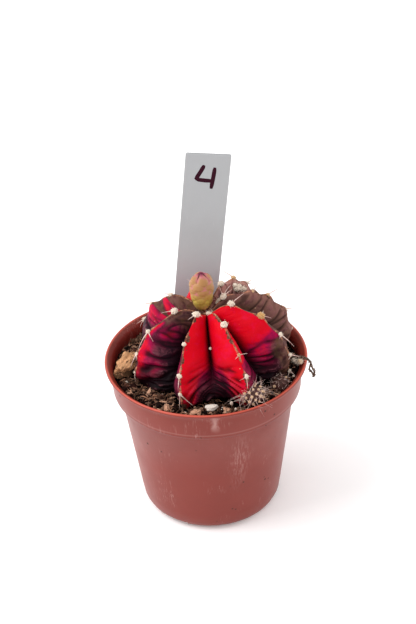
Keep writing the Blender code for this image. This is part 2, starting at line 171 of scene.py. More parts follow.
class OffsetSettings(bpy.types.PropertyGroup):
    skin: colour("Skin", "The offsets' knobbly skin", 74, 44, 36)
    bead: colour("Bead", "The small areoles on the knobs", 226, 188, 150)
    knobs: number("Knobs", "Knobs on an offset", 54, 8, 80)


class MixSettings(bpy.types.PropertyGroup):
    peat: colour("Peat", "Dark moist peat", 46, 21, 16)
    fibre: colour("Fibre", "Dry fibres and twigs", 186, 134, 104)
    chip: colour("Chip", "Wood chips", 204, 156, 128)
    bark: colour("Bark", "The large piece of bark", 200, 149, 107)
    grit: colour("Grit", "Perlite", 232, 222, 210)
    crumbs: number("Crumbs", "Crumbs of peat on top", 4200, 0, 6000)
    fibres: number("Fibres", "Loose fibres on top", 640, 0, 1500)


class LabelSettings(bpy.types.PropertyGroup):
    plastic: colour("Plastic", "The label's plastic", 184, 185, 187)
    ink: colour("Ink", "The marker's ink", 44, 0, 20)
    stroke: length("Stroke", "The marker's line width", 1.32)


class StageSettings(bpy.types.PropertyGroup):
    floor: colour("Floor", "The pale floor", 250, 249, 249)
    world: FloatProperty(name="World", description="Brightness of the surroundings", default=0.9)
    key: FloatProperty(name="Key", description="The large light above the left", default=0.9, unit="POWER")
    lens: FloatProperty(name="Lens", description="The camera's focal length", default=113.1, unit="CAMERA")


SETTINGS = {
    "cactus_pot": PotSettings,
    "cactus_stem": StemSettings,
    "cactus_spine": SpineSettings,
    "cactus_bud": BudSettings,
    "cactus_offset": OffsetSettings,
    "cactus_mix": MixSettings,
    "cactus_label": LabelSettings,
    "cactus_stage": StageSettings,
}


# ---- finishes ----


class Socket:
    """A number or colour in a finish, which can be used in arithmetic."""

    def __init__(self, finish, link):
        self.finish, self.link = finish, link


def arithmetic(operation, swapped):
    """A method that adds the Math node of one operator, or of its reflected form."""

    def method(self, other):
        left, right = (other, self) if swapped else (self, other)
        return self.finish.node("ShaderNodeMath", {"operation": operation}, {0: left, 1: right})

    return method


for sign, operation in (("add", "ADD"), ("sub", "SUBTRACT"), ("mul", "MULTIPLY"), ("truediv", "DIVIDE")):
    setattr(Socket, f"__{sign}__", arithmetic(operation, False))
    setattr(Socket, f"__r{sign}__", arithmetic(operation, True))


def times(shade, *scale):
    """A colour made darker or lighter, by one factor or by one for each channel."""
    return [c * k for c, k in zip(shade, scale * 3 if len(scale) == 1 else scale)]


class Finish:
    """A material whose nodes are written as expressions."""

    def __init__(self, name, constants):
        self.material = bpy.data.materials.new(name)
        self.material.use_nodes = True
        self.tree = self.material.node_tree
        self.shader = self.tree.nodes["Principled BSDF"]
        for socket, value in constants.items():
            self.shader.inputs[socket].default_value = value

    def node(self, kind, settings=None, inputs=None, output=0):
        """Adds any node: its settings first, then the values or links of its sockets."""
        made = self.tree.nodes.new(kind)
        for key, value in (settings or {}).items():
            if key == "stops":
                ramp = made.color_ramp
                while len(ramp.elements) < len(value):
                    ramp.elements.new(1.0)
                for element, (place, shade) in zip(ramp.elements, value):
                    element.position = place
                    element.color = (*shade, 1.0)
            else:
                setattr(made, key, value)
        for key, value in (inputs or {}).items():
            self.feed(made.inputs[key], value)
        return Socket(self, made.outputs[output])

    def feed(self, socket, value):
        if isinstance(value, Socket):
            self.tree.links.new(value.link, socket)
        elif socket.type == "RGBA":
            socket.default_value = (*tuple(value)[:3], 1.0)
        else:
            socket.default_value = value

    def place(self, scale=(1.0, 1.0, 1.0)):
        """Object coordinates in metres, stretched by a scale on each axis."""
        here = self.node("ShaderNodeTexCoord", output="Object")
        return self.node("ShaderNodeMapping", None, {"Vector": here, "Scale": scale})

    def grain(self, size, detail=3.0, roughness=0.55, scale=(1.0, 1.0, 1.0), distortion=0.0):
        """Noise whose lumps are about the given size across, 0 to 1."""
        inputs = {
            "Vector": self.place(scale),
            "Scale": 1.0 / size,
            "Detail": detail,
            "Roughness": roughness,
            "Distortion": distortion,
        }
        return self.node("ShaderNodeTexNoise", None, inputs)

    def specks(self, size):
        """Distance to the nearest of many scattered points, as a share of their spacing."""
        return self.node("ShaderNodeTexVoronoi", None, {"Vector": self.place(), "Scale": 1.0 / size})

    def own(self, attribute):
        """A value stored on the mesh."""
        return self.node("ShaderNodeAttribute", {"attribute_name": attribute}, output="Fac")

    def along(self, axis):
        """A coordinate in the part's frame, in millimetres: 0 is X, 1 is Y and 2 is Z."""
        here = self.node("ShaderNodeTexCoord", output="Object")
        return self.node("ShaderNodeSeparateXYZ", None, {0: here}, axis) / MM

    def height(self):
        """Height above the surface that the pot stands on, in millimetres."""
        return self.along(2)

    def reach(self):
        """Distance from the pot's axis, in millimetres."""
        here = self.node("ShaderNodeTexCoord", output="Object")
        inputs = {0: here, 1: (1.0, 1.0, 0.0)}
        flat = self.node("ShaderNodeVectorMath", {"operation": "MULTIPLY"}, inputs)
        return self.node("ShaderNodeVectorMath", {"operation": "LENGTH"}, {0: flat}, "Value") / MM

    def step(self, value, low, high):
        """0 below low, 1 above high, and smooth in between. Low may be the larger."""
        inputs = {"Value": value, "From Min": low, "From Max": high}
        return self.node("ShaderNodeMapRange", {"interpolation_type": "SMOOTHSTEP"}, inputs)

    def band(self, value, middle, half):
        """1 at the middle of a band of values, falling to 0 at its edges."""
        return self.step(value, middle - half, middle) * self.step(value, middle + half, middle)

    def mix(self, mask, low, high, blend="MIX"):
        """One colour over another, by a mask."""
        settings = {"data_type": "RGBA", "blend_type": blend}
        return self.node("ShaderNodeMix", settings, {0: mask, 6: low, 7: high}, 2)

    def ramp(self, value, *stops):
        return self.node("ShaderNodeValToRGB", {"stops": stops}, {0: value})

    def finish(self, base, roughness=None, relief=None, depth=0.1 * MM, strength=1.0):
        """Connects what varies over the surface, and hands back the material."""
        self.feed(self.shader.inputs["Base Color"], base)
        if roughness is not None:
            self.feed(self.shader.inputs["Roughness"], roughness)
        if relief is not None:
            inputs = {"Height": relief, "Distance": depth, "Strength": strength}
            self.feed(self.shader.inputs["Normal"], self.node("ShaderNodeBump", None, inputs))
        return self.material


def pot_finish(look):
    """Moulded plastic: lighter and more orange at the lip, dull inside, with scuffs and dirt."""
    f = Finish("pot_plastic", {"Specular IOR Level": 0.33})
    height, reach = f.height(), f.reach()
    cloud = f.grain(9 * MM, 4.0)
    body = f.mix(f.step(cloud, 0.35, 0.7) * 0.22, look.plastic, times(look.plastic, 0.72))
    inner_wall = f.step(reach, 28.6, 28.1) * f.step(height, 40.0, 42.0) * f.own("inner")
    # Painted light: the thin lip is lighter and more orange, for light shining through the plastic there
    lip = f.step(height, RIM / MM - 0.32, RIM / MM - 0.12) * f.step(reach, 29.0, 29.5)
    shade = f.mix(lip, f.mix(inner_wall, body, look.inside), look.lip)
    # Painted shade in the ring where the mould's collar ends, a faint pale line above it, and faint turned
    # lines down the wall
    ring = f.band(height, 40.6, 0.5)
    shade = f.mix(ring * 0.3, shade, times(look.plastic, 0.5))
    shade = f.mix(f.band(height, 41.5, 0.4) * 0.12, shade, look.scuff)
    streaks = f.grain(0.5 * MM, 5.0, 0.7, (1.0, 1.0, 0.09))
    scuffed = f.step(f.grain(11 * MM, 2.0), 0.56, 0.72) * f.step(streaks, 0.52, 0.7)
    shade = f.mix(scuffed * 0.35, shade, look.scuff)
    # Lime marks run down from the lip near the front
    side, front = f.along(0), f.step(f.along(1), -20.0, -24.0)
    wander = f.grain(2.2 * MM, 3.0, 0.6) * 3.0 - 1.5
    lime = f.band(side + wander, 1.6, 1.6) * f.band(height, 46.0, 4.2) * front
    shade = f.mix(lime * 0.45, shade, look.scuff)
    low_lime = f.band(side + wander * 2.0, 9.0, 5.0) * f.band(height, 26.0, 16.0) * front
    shade = f.mix(low_lime * f.step(streaks, 0.45, 0.62) * 0.3, shade, look.scuff)
    # Specks of mix stuck to the wall
    dots = f.step(f.specks(3.2 * MM), 0.15, 0.09) * f.step(f.grain(9 * MM, 1.0), 0.57, 0.64)
    shade = f.mix(dots * 0.85, shade, (0.03, 0.016, 0.01))
    roughness = 0.3 + cloud * 0.14 + scuffed * 0.2 + dots * 0.3
    relief = f.grain(0.35 * MM, 2.0) * 0.4 + streaks * 0.6
    return f.finish(shade, roughness, relief, 0.03 * MM, 0.5)


def stem_finish(look):
    """Waxy variegated skin: red, magenta, purple-black and brown, with creases and cork."""
    f = Finish("cactus_skin", {"Specular IOR Level": 0.05})
    blotch = f.grain(3.0 * MM, 4.0, 0.6, distortion=0.6)
    fine = f.grain(0.5 * MM, 3.0, 0.6)
    redness = f.own("red") + (blotch - 0.5) * 0.55 + (fine - 0.5) * 0.16
    violet = [0.72 * d + 0.28 * m for d, m in zip(look.dark, look.magenta)]
    skin = f.ramp(
        redness,
        (0.16, tuple(look.dark)),
        (0.34, tuple(violet)),
        (0.54, tuple(look.magenta)),
        (0.74, tuple(look.red)),
        (1.00, (0.60, 0.0, 0.008)),
    )
    # Less light reaches the foot, and the skin there is a deeper crimson
    skin = f.mix(f.step(f.height(), 60.0, 48.0) * 0.5, skin, (0.45, 0.3, 0.4), "MULTIPLY")
    skin = f.mix(f.own("dim"), skin, (0.2, 0.1, 0.16), "MULTIPLY")
    wine = f.step(f.grain(2.6 * MM, 3.0, 0.6), 0.5, 0.7) * f.step(redness, 0.6, 0.8)
    skin = f.mix(wine * 0.45, skin, (0.62, 0.004, 0.05))
    olive = times(look.brown, 0.66, 0.72, 0.5)
    plum = times(look.brown, 0.5, 0.32, 0.42)
    brown = f.mix(f.step(blotch, 0.4, 0.62), look.brown, olive)
    brown = f.mix(f.step(f.grain(2.2 * MM, 3.0, 0.6), 0.5, 0.66), brown, plum)
    pale = f.own("pale") * (0.3 + 0.7 * f.step(blotch, 0.4, 0.58))
    brown = f.mix(pale, brown, (0.385, 0.178, 0.145))
    browned = f.step(f.own("brown") + (blotch - 0.5) * 0.7, 0.3, 0.7)
    skin = f.mix(browned * 0.94, skin, brown)
    # Painted highlights on the pleat tops, partly dust where the skin is dark, and painted shade in the
    # creases between them
    pleat, folded, groove = f.own("pleat"), f.own("folded"), f.own("groove")
    dull = f.step(redness, 0.66, 0.3) * folded
    top = f.step(pleat, 0.6, 0.98)
    dusty = top * f.step(blotch + (fine - 0.5) * 0.3, 0.4, 0.62) * dull
    skin = f.mix(dusty * 0.4, skin, (0.25, 0.085, 0.105))
    # Painted highlights on the pleat tops of the red skin
    skin = f.mix(top * folded * f.step(redness, 0.5, 0.8) * 0.3, skin, (0.78, 0.05, 0.10))
    skin = f.mix(f.step(pleat, 0.66, 0.12) * (0.86 - 0.3 * browned), skin, times(look.dark, 0.24))
    # Painted shade along the bottom of each groove
    skin = f.mix(groove * 0.92, skin, times(look.dark, 0.2))
    # Cork beside the crest in ragged patches, then the crest's broken tan line
    beside = f.own("beside")
    ragged = f.grain(0.9 * MM, 4.0, 0.65)
    patches = f.step(f.grain(3.4 * MM, 2.0, 0.5), 0.44, 0.58) * f.own("cork")
    cork = f.step(ragged * 0.9 + patches * 0.55 - beside * 0.42, 0.42, 0.5)
    corky = f.mix(f.step(fine, 0.38, 0.62), look.cork, times(look.cork, 0.35))
    skin = f.mix(cork * 0.92, skin, corky)
    line = f.step(beside + (fine - 0.5) * 0.7 + f.step(patches, 0.7, 1.0) * 0.3, 0.52, 0.2)
    skin = f.mix(line * 0.9, skin, f.mix(f.step(ragged, 0.42, 0.62), look.crest, look.cork))
    # Tan flecks
    flecks = f.step(f.specks(2.4 * MM), 0.09, 0.05) * f.step(f.grain(5 * MM, 1.0), 0.52, 0.6)
    skin = f.mix(flecks * 0.7, skin, (0.55, 0.33, 0.2))
    roughness = 0.42 + fine * 0.16 + cork * 0.25 + browned * 0.14
    relief = fine * 0.6 + f.grain(0.2 * MM, 2.0) * 0.3 + cork * 0.9
    return f.finish(skin, roughness, relief, 0.09 * MM, 0.8)


def wool_finish(look):
    """Felted wool, creamy and a little dirty, older towards the foot."""
    f = Finish("areole_wool", {"Sheen Weight": 0.35, "Specular IOR Level": 0.2})
    curl = f.grain(0.28 * MM, 3.0, 0.7, distortion=1.2)
    aged = f.step(f.own("tone") + (curl - 0.5) * 0.5, 0.35, 0.85)
    felt = f.mix(aged, look.wool, look.old_wool)
    felt = f.mix(f.step(curl, 0.5, 0.3) * 0.35, felt, times(look.old_wool, 0.5))
    return f.finish(felt, 0.88 + curl * 0.1, curl, 0.14 * MM)


def spine_finish(look):
    """Thin horn: pale, pinker and browner in bands."""
    f = Finish("spine_horn", {"Specular IOR Level": 0.4})
    bands = f.grain(1.4 * MM, 2.0)
    horn = f.mix(f.step(bands, 0.4, 0.68), look.spine, times(look.spine, 0.62, 0.42, 0.4))
    return f.finish(horn, 0.42 + bands * 0.2, f.grain(0.2 * MM, 2.0), 0.02 * MM)


def bud_finish(look):
    """Fleshy scales: tan with pinkish margins, yellow-green low down, magenta at the very tip."""
    f = Finish("bud_skin", {"Specular IOR Level": 0.3})
    mottled = f.grain(1.1 * MM, 4.0, 0.6)
    rise = f.own("rise") + (mottled - 0.5) * 0.22
    flesh = f.ramp(
        rise,
        (0.02, (0.28, 0.13, 0.06)),
        (0.12, (0.48, 0.28, 0.08)),
        (0.26, tuple(look.foot)),
        (0.42, (0.44, 0.27, 0.06)),
        (0.58, tuple(look.scale)),
        (0.90, tuple(look.scale)),
        (0.97, tuple(look.tip)),
    )
    edge = f.own("edge") + (mottled - 0.5) * 0.3
    margin = f.mix(f.step(rise, 0.36, 0.5), [min(1.0, c * 1.5) for c in look.foot], look.tip)
    flesh = f.mix(f.step(edge, 0.36, 0.75) * 0.8, flesh, margin)
    # Painted shade at the foot of each scale, where it tucks under the row below, and on the core between
    # the scales
    flesh = f.mix(f.own("seam") * 0.9, flesh, (0.12, 0.05, 0.03))
    green = f.step(f.grain(2.4 * MM, 2.0), 0.5, 0.64) * f.step(edge, 0.3, 0.7)
    flesh = f.mix(green * 0.5, flesh, [min(1.0, c * 1.1) for c in look.foot])
    flesh = f.mix(f.own("tip"), flesh, (0.20, 0.012, 0.06))
    veins = f.grain(0.35 * MM, 2.0, 0.6, (1.0, 1.0, 0.2))
    flesh = f.mix(f.step(veins, 0.55, 0.75) * 0.18, flesh, times(look.scale, 0.5))
    return f.finish(flesh, 0.44 + mottled * 0.14, veins + mottled * 0.5, 0.05 * MM)


def offset_finish(look):
    """Dark skin with painted shade in the hollows between its knobs, so the knobs look paler and greyer.
    """
    f = Finish("offset_skin", {"Specular IOR Level": 0.35})
    mottled = f.grain(0.7 * MM, 4.0, 0.65)
    # Painted shade in the hollows between the knobs
    skin = f.mix(f.own("knob"), times(look.skin, 0.16), look.skin)
    skin = f.mix(f.step(mottled, 0.5, 0.7) * 0.4, skin, (0.16, 0.05, 0.07))
    return f.finish(skin, 0.55 + mottled * 0.3, mottled, 0.08 * MM)


def bead_finish(look):
    """The offsets' small cream areoles."""
    f = Finish("offset_beads", {"Sheen Weight": 0.2})
    mottled = f.grain(0.3 * MM, 3.0, 0.65)
    bead = f.mix(f.step(mottled, 0.42, 0.66), look.bead, times(look.bead, 0.5))
    return f.finish(bead, 0.8 + mottled * 0.15, mottled, 0.05 * MM)


def dry_flower_finish():
    """Shrivelled brown tissue with paler ridges."""
    f = Finish("dry_flower", {"Specular IOR Level": 0.25})
    mottled = f.grain(0.6 * MM, 4.0, 0.7)
    tissue = f.ramp(
        mottled,
        (0.3, (0.02, 0.012, 0.008)),
        (0.5, (0.09, 0.05, 0.035)),
        (0.72, (0.36, 0.25, 0.18)),
    )
    return f.finish(tissue, 0.85 + mottled * 0.1, mottled, 0.15 * MM)


def peat_finish(name, look):
    """Peat crumbs, each with its own tone from nearly black to a dry brown, lowered by painted shade near
    the stem.
    """
    f = Finish(name, {"Specular IOR Level": 0.1})
    lumps = f.grain(0.8 * MM, 5.0, 0.7)
    tone = f.own("tone") + (lumps - 0.5) * 0.55
    soil = f.ramp(
        tone,
        (0.12, times(look.peat, 0.2)),
        (0.45, tuple(look.peat)),
        (0.70, (0.14, 0.056, 0.036)),
        (1.0, (0.48, 0.27, 0.18)),
    )
    return f.finish(soil, 0.82 + lumps * 0.15, lumps + f.grain(0.25 * MM, 2.0) * 0.6, 0.22 * MM)


def wood_finish(name, base, toned=True):
    """Split wood or bark: fibres along it, paler on torn faces and dark in its cracks."""
    f = Finish(name, {"Specular IOR Level": 0.2})
    fibres = f.grain(0.5 * MM, 4.0, 0.7, (1.6, 0.35, 1.0), 0.4)
    mottled = f.grain(1.6 * MM, 3.0, 0.6)
    tone = f.own("tone") if toned else f.step(f.grain(2.6 * MM, 1.0), 0.42, 0.66) * 1.1 - 0.2
    wood = f.mix(f.step(fibres + (tone - 0.5) * 0.6, 0.34, 0.7), times(base, 0.24), base)
    wood = f.mix(f.step(mottled, 0.55, 0.75) * 0.5, wood, times(base, 0.55, 0.4, 0.3))
    return f.finish(wood, 0.8 + fibres * 0.15, fibres + mottled * 0.6, 0.2 * MM)


def grit_finish(look):
    """Chalky perlite with pits and a little peat dust."""
    f = Finish("perlite", {"Specular IOR Level": 0.3})
    pits = f.grain(0.45 * MM, 4.0, 0.65)
    chalk = f.mix(f.step(pits, 0.5, 0.34) * 0.6, look.grit, (0.42, 0.28, 0.22))
    dusty = f.step(f.grain(1.2 * MM, 2.0), 0.55, 0.75)
    chalk = f.mix(dusty * 0.5, chalk, (0.5, 0.36, 0.3))
    return f.finish(chalk, 0.78 + pits * 0.15, pits, 0.12 * MM)


def label_finish(look):
    """Matt plastic strip with faint smears and fine scratches along it."""
    f = Finish("label_plastic", {"Specular IOR Level": 0.45})
    smear = f.grain(7 * MM, 4.0, 0.6)
    scratch = f.grain(0.35 * MM, 3.0, 0.6, (1.0, 1.0, 0.05))
    sheet = f.mix(f.step(smear, 0.4, 0.75) * 0.3, look.plastic, times(look.plastic, 0.84))
    # Painted light: the strip is lighter low down and darker towards its top
    sheet = f.mix(f.step(f.height(), 56.0, 80.0), times(look.plastic, 1.17), sheet)
    sheet = f.mix(f.step(f.height(), 60.0, 102.0) * 0.8, sheet, times(look.plastic, 0.78))
    # Pinkish grey patches low on the strip
    low_patches = f.step(f.height(), 72.0, 60.0) * f.step(smear, 0.3, 0.6)
    sheet = f.mix(low_patches * 0.3, sheet, (0.62, 0.52, 0.56))
    sheet = f.mix(f.step(scratch, 0.62, 0.78) * 0.14, sheet, (0.8, 0.8, 0.8))
    return f.finish(sheet, 0.42 + smear * 0.14, scratch, 0.015 * MM, 0.5)


def ink_finish(look):
    """Marker ink, denser where the pen slowed."""
    f = Finish("marker_ink", {"Specular IOR Level": 0.12})
    pooled = f.grain(0.6 * MM, 3.0, 0.6)
    ink = f.mix(f.step(pooled, 0.4, 0.65) * 0.5, look.ink, [min(1.0, c * 1.7) for c in look.ink])
    return f.finish(ink, 0.4 + pooled * 0.2, pooled, 0.01 * MM)


def floor_finish(look):
    glow = {"Emission Color": (1.0, 1.0, 1.0, 1.0), "Emission Strength": 0.13}
    f = Finish("studio_floor", {"Specular IOR Level": 0.2, **glow})
    return f.finish(f.mix(f.grain(0.3, 2.0) * 0.02, look.floor, (0.9, 0.9, 0.9)), 0.9)


# ---- modelling helpers ----


def deselect():
    if bpy.context.object and bpy.context.object.mode != "OBJECT":
        bpy.ops.object.mode_set(mode="OBJECT")
    bpy.ops.object.select_all(action="DESELECT")


def pick(obj):
    """Makes one object the only selected and active one."""
    deselect()
    obj.select_set(True)
    bpy.context.view_layer.objects.active = obj
    return obj


def named(name):
    """Names the object that was just made."""
    obj = bpy.context.object
    obj.name = name
    obj.data.name = name
    return obj


def linked(name, data):
    """A new object in the scene."""
    obj = bpy.data.objects.new(name, data)
    bpy.context.scene.collection.objects.link(obj)
    return obj


def primitive(kind, name, **settings):
    """Adds one of Blender's primitive meshes under a name."""
    deselect()
    getattr(bpy.ops.mesh, f"primitive_{kind}_add")(**settings)
    return named(name)


def edit_all():
    """Goes into edit mode with the whole mesh selected."""
    bpy.ops.object.mode_set(mode="EDIT")
    bpy.ops.mesh.select_all(action="SELECT")


def close_edit():
    """Leaves edit mode with all the faces pointing outwards."""
    bpy.ops.mesh.select_all(action="SELECT")
    bpy.ops.mesh.normals_make_consistent(inside=False)
    bpy.ops.object.mode_set(mode="OBJECT")


def settle(obj):
    """Moves an object's place, turn and size into its mesh."""
    pick(obj)
    bpy.ops.object.transform_apply(location=True, rotation=True, scale=True)
    return obj


def apply_modifier(obj, kind, **settings):
    pick(obj)
    modifier = obj.modifiers.new(kind.title(), kind)
    for key, value in settings.items():
        setattr(modifier, key, value)
    bpy.ops.object.modifier_apply(modifier=modifier.name)


def points_of(obj):
    """An array of a mesh's vertices."""
    flat = np.empty(len(obj.data.vertices) * 3)
    obj.data.vertices.foreach_get("co", flat)
    return flat.reshape(-1, 3)


def move_points(obj, points):
    obj.data.vertices.foreach_set("co", np.asarray(points, dtype=float).ravel())
    obj.data.update()


def store(obj, **values):
    """Keeps values for each vertex, for the finish to read."""
    for name, value in values.items():
        flat = np.zeros(len(obj.data.vertices), dtype=np.float32)
        flat[:] = value
        obj.data.attributes.new(name, "FLOAT", "POINT").data.foreach_set("value", flat)


def adopt(obj, finish, slot, *nodes, smooth=True):
    """Gives a piece its finish, hangs it on the root body and hides the imported parts it stands for."""
    pick(obj)
    if smooth:
        bpy.ops.object.shade_smooth()
    obj.data.materials.clear()
    obj.data.materials.append(finish)
    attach(obj, "root")
    if nodes:
        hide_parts(*nodes)
    return obj


def seed_shape(subdivisions):
    """The corners and faces of a small faceted ball, to be copied many times."""
    ball = primitive("ico_sphere", "seed_shape", subdivisions=subdivisions, radius=1.0)
    corners = points_of(ball)
    faces = np.array([polygon.vertices[:] for polygon in ball.data.polygons])
    bpy.data.objects.remove(ball, do_unlink=True)
    return corners, faces


def scattered(name, seed, matrices, tones, rng, rough=0.25):
    """One mesh of many copies of a seed shape, each jagged in its own way and with its own tone."""
    corners, faces = seed
    made, joined, shades = [], [], []
    for index, (matrix, tone) in enumerate(zip(matrices, tones)):
        jagged = corners * (1.0 + rough * np.array([rng.uniform(-1.0, 1.0) for _ in corners])[:, None])
        made.append(jagged @ np.array(matrix.to_3x3()).T + np.array(matrix.translation))
        joined.append(faces + index * len(corners))
        shades += [tone] * len(corners)
    mesh = bpy.data.meshes.new(name)
    mesh.from_pydata(np.concatenate(made).tolist(), [], np.concatenate(joined).tolist())
    obj = linked(name, mesh)
    store(obj, tone=shades)
    return obj


def strands(name, paths, sides=1):
    """Thin solid strands along paths of (point, radius), joined into one mesh."""
    data = bpy.data.curves.new(name, "CURVE")
    data.dimensions = "3D"
    data.bevel_depth = 1.0
    data.bevel_resolution = sides
    data.use_fill_caps = True
    for path in paths:
        spline = data.splines.new("POLY")
        spline.points.add(len(path) - 1)
        for target, (point, radius) in zip(spline.points, path):
            target.co = (*point, 1.0)
            target.radius = radius
    pick(linked(name, data))
    bpy.ops.object.convert(target="MESH")
    return bpy.context.object


def bent_path(start, way, length, bend, radius, steps=7):
    """A tapering path that leaves start along way and curves towards bend."""
    path = []
    for i in range(steps + 1):
        share = i / steps
        point = start + way * (length * share) + bend * (length * share * share)
        path.append((point, radius * (1.0 - 0.88 * share)))
    return path


def sized(spot, turned, x, y, z):
    """The matrix of a copy of a seed shape: its place, turn and three half sizes."""
    return Matrix.Translation(spot) @ turned @ Matrix.Diagonal((x, y, z, 1.0))


def facing(outward, turn=0.0):
    """A rotation that points +Z outwards."""
    spin = Matrix.Rotation(turn, 4, "Z")
    return Vector((0.0, 0.0, 1.0)).rotation_difference(outward).to_matrix().to_4x4() @ spin


def some_way(rng):
    """A random direction."""
    while True:
        way = Vector((rng.uniform(-1, 1), rng.uniform(-1, 1), rng.uniform(-1, 1)))
        if 0.1 < way.length < 1.0:
            return way.normalized()


def tumbled(rng):
    """A random turn."""
    return Matrix.Rotation(rng.uniform(0, 6), 4, some_way(rng))


def smooth_step(value, low, high):
    share = np.clip((value - low) / (high - low), 0.0, 1.0)
    return share * share * (3.0 - 2.0 * share)


def within(value, low, full_low, full_high, high):
    """1 between two values, falling smoothly to 0 at the outer two."""
    return smooth_step(value, low, full_low) * smooth_step(value, high, full_high)


def around(reach, turn, height=0.0):
    """A place at a distance from an upright axis."""
    return (reach * math.cos(turn), reach * math.sin(turn), height)


# ---- pot ----

POT_SEGMENTS = 160
POT_PROFILE = (  # (radius, height) up the outside, over the lip and down inside, in millimetres
    (17.6, 0.0), (18.9, 0.35), (20.0, 1.3), (20.8, 2.9), (21.3, 6.0), (23.6, 22.4),
    (25.9, 38.7), (26.3, 39.1), (27.4, 39.9), (27.85, 40.3), (28.0, 40.8), (28.4, 46.8),
    (28.55, 48.0), (28.95, 48.6), (29.7, 48.9), (29.95, 49.2), (30.0, 49.55), (29.88, 49.85),
    (29.6, 50.0), (29.25, 49.9), (28.9, 49.5), (28.2, 48.9), (27.75, 48.0), (27.6, 46.8),
    (27.2, 40.8), (25.1, 38.3), (22.8, 22.0), (20.5, 7.0), (19.7, 3.7), (18.5, 3.1),
    (3.0, 3.1), (3.0, 2.2), (15.9, 2.2), (16.5, 0.0),
)
NOTCH_AZIMUTHS, NOTCH_REACH = (-126.0, -6.0, 114.0), 19.3 * MM
NOTCH_SIZE = (10.0 * MM, 9.0 * MM, 3.6 * MM)
DRAIN_HOLES, DRAIN_REACH, DRAIN_RADIUS = 5, 11.5 * MM, 2.4 * MM
FLOOR_TOP = 3.1 * MM
# (height, radius) halfway through the wall, in millimetres
INNER_WALL = ((0.0, 15.0), (6.0, 20.9), (38.9, 25.5), (40.8, 27.6), (48.0, 28.1), (50.0, 29.4))


def model_pot():
    """The pot: rings pulled up from the foot, over the lip and down inside, then cut."""
    pot = primitive("circle", "pot_shell", vertices=POT_SEGMENTS, radius=POT_PROFILE[0][0] * MM)
    edit_all()
    for (near, low), (far, high) in zip(POT_PROFILE, POT_PROFILE[1:]):
        rise = (0.0, 0.0, (high - low) * MM)
        bpy.ops.mesh.extrude_region_move(TRANSFORM_OT_translate={"value": rise})
        bpy.ops.transform.resize(value=(far / near, far / near, 1.0))
    # The last ring meets the first across the foot's underside
    bpy.ops.mesh.select_all(action="SELECT")
    bpy.ops.mesh.region_to_loop()
    bpy.ops.mesh.bridge_edge_loops()
    bpy.ops.mesh.select_all(action="SELECT")
    bpy.ops.mesh.remove_doubles(threshold=1e-7)
    close_edit()
    tools = []
    for azimuth in NOTCH_AZIMUTHS:
        turn = math.radians(azimuth)
        spot = around(NOTCH_REACH, turn)
        notch = primitive("cube", "notch_tool", size=1.0, location=spot, rotation=(0.0, 0.0, turn))
        notch.scale = NOTCH_SIZE
        tools.append(settle(notch))
    for index in range(DRAIN_HOLES):
        spot = around(DRAIN_REACH, math.tau * (index + 0.5) / DRAIN_HOLES, FLOOR_TOP)
        size = {"vertices": 32, "radius": DRAIN_RADIUS, "depth": 6.0 * MM}
        tools.append(primitive("cylinder", "drain_tool", location=spot, **size))
    for tool in tools:
        apply_modifier(pot, "BOOLEAN", operation="DIFFERENCE", solver="EXACT", object=tool)
        bpy.data.objects.remove(tool, do_unlink=True)
    # A moulded pot is never quite round
    points = points_of(pot)
    turn = np.arctan2(points[:, 1], points[:, 0])
    high = points[:, 2] / RIM
    wave = 1.0 + 0.0025 * high * np.cos(2.0 * turn + 0.6)
    points[:, 0] *= wave
    points[:, 1] *= wave
    points[:, 2] += 0.12 * MM * high**6 * np.sin(3.0 * turn + 1.0)
    move_points(pot, points)
    pick(pot)
    bpy.ops.object.shade_smooth_by_angle(angle=math.radians(38.0))
    wall = np.interp(points[:, 2] / MM, *zip(*INNER_WALL))
    store(pot, inner=np.hypot(points[:, 0], points[:, 1]) / MM < wall)
    return pot


# ---- stem ----


def crest_line(angle):
    """(radius, height) of a rib's crest: 90 degrees at the crown, below 0 under the widest."""
    turn = np.radians(angle)
    upper = angle >= 0.0
    cosine = np.clip(np.cos(turn), 0.0, 1.0)
    radius = CREST_RADIUS * np.where(upper, cosine**0.73, cosine**1.3)
    drop = -CREST_DROP * np.clip(-np.sin(turn), 0.0, 1.0) ** 1.1
    height = np.where(upper, CREST_RISE * np.sin(turn), drop)
    return radius, height - CROWN_DIMPLE * np.exp(-((radius / CROWN_WIDTH) ** 2))


def groove_line(angle):
    """(radius, height) of the bottom of the groove between two ribs."""
    turn = np.radians(angle)
    upper = angle >= 0.0
    cosine = np.clip(np.cos(turn), 0.0, 1.0)
    radius = GROOVE_RADIUS * np.where(upper, cosine**1.6, cosine**0.9)
    rise = GROOVE_RISE * np.clip(np.sin(turn), 0.0, 1.0) ** 1.1
    drop = -CREST_DROP * np.clip(-np.sin(turn), 0.0, 1.0) ** 1.1
    return radius, np.where(upper, rise, drop)


def leaned(radius, azimuth, height):
    """Points of the stem's own upright frame, in their leaning place in the pot."""
    x, y = radius * np.cos(azimuth), radius * np.sin(azimuth)
    return np.stack(
        (
            AXIS_FOOT.x + x + LEAN_X * height,
            AXIS_FOOT.y + y + LEAN_Y * height,
            AXIS_FOOT.z + height - LEAN_X * x - LEAN_Y * y,
        ),
        axis=-1,
    )


def rib_azimuth(turns):
    """Azimuth in degrees of a place counted in ribs, where each whole number is a crest."""
    return np.interp(np.asarray(turns) * 2.0, range(len(STOPS)), STOPS)


def crest_frame(rib, angle):
    """(place, outward, along) on a rib's crest, where along runs down it."""
    azimuth, reach, _ = RIBS[rib]

    def at(degrees):
        radius, height = crest_line(np.array(float(degrees)))
        return Vector(leaned(radius * reach, math.radians(azimuth), height))

    along = (at(angle - 2.0) - at(angle + 2.0)).normalized()
    across = Vector((-math.sin(math.radians(azimuth)), math.cos(math.radians(azimuth)), 0.0))
    return at(angle), along.cross(across).normalized(), along


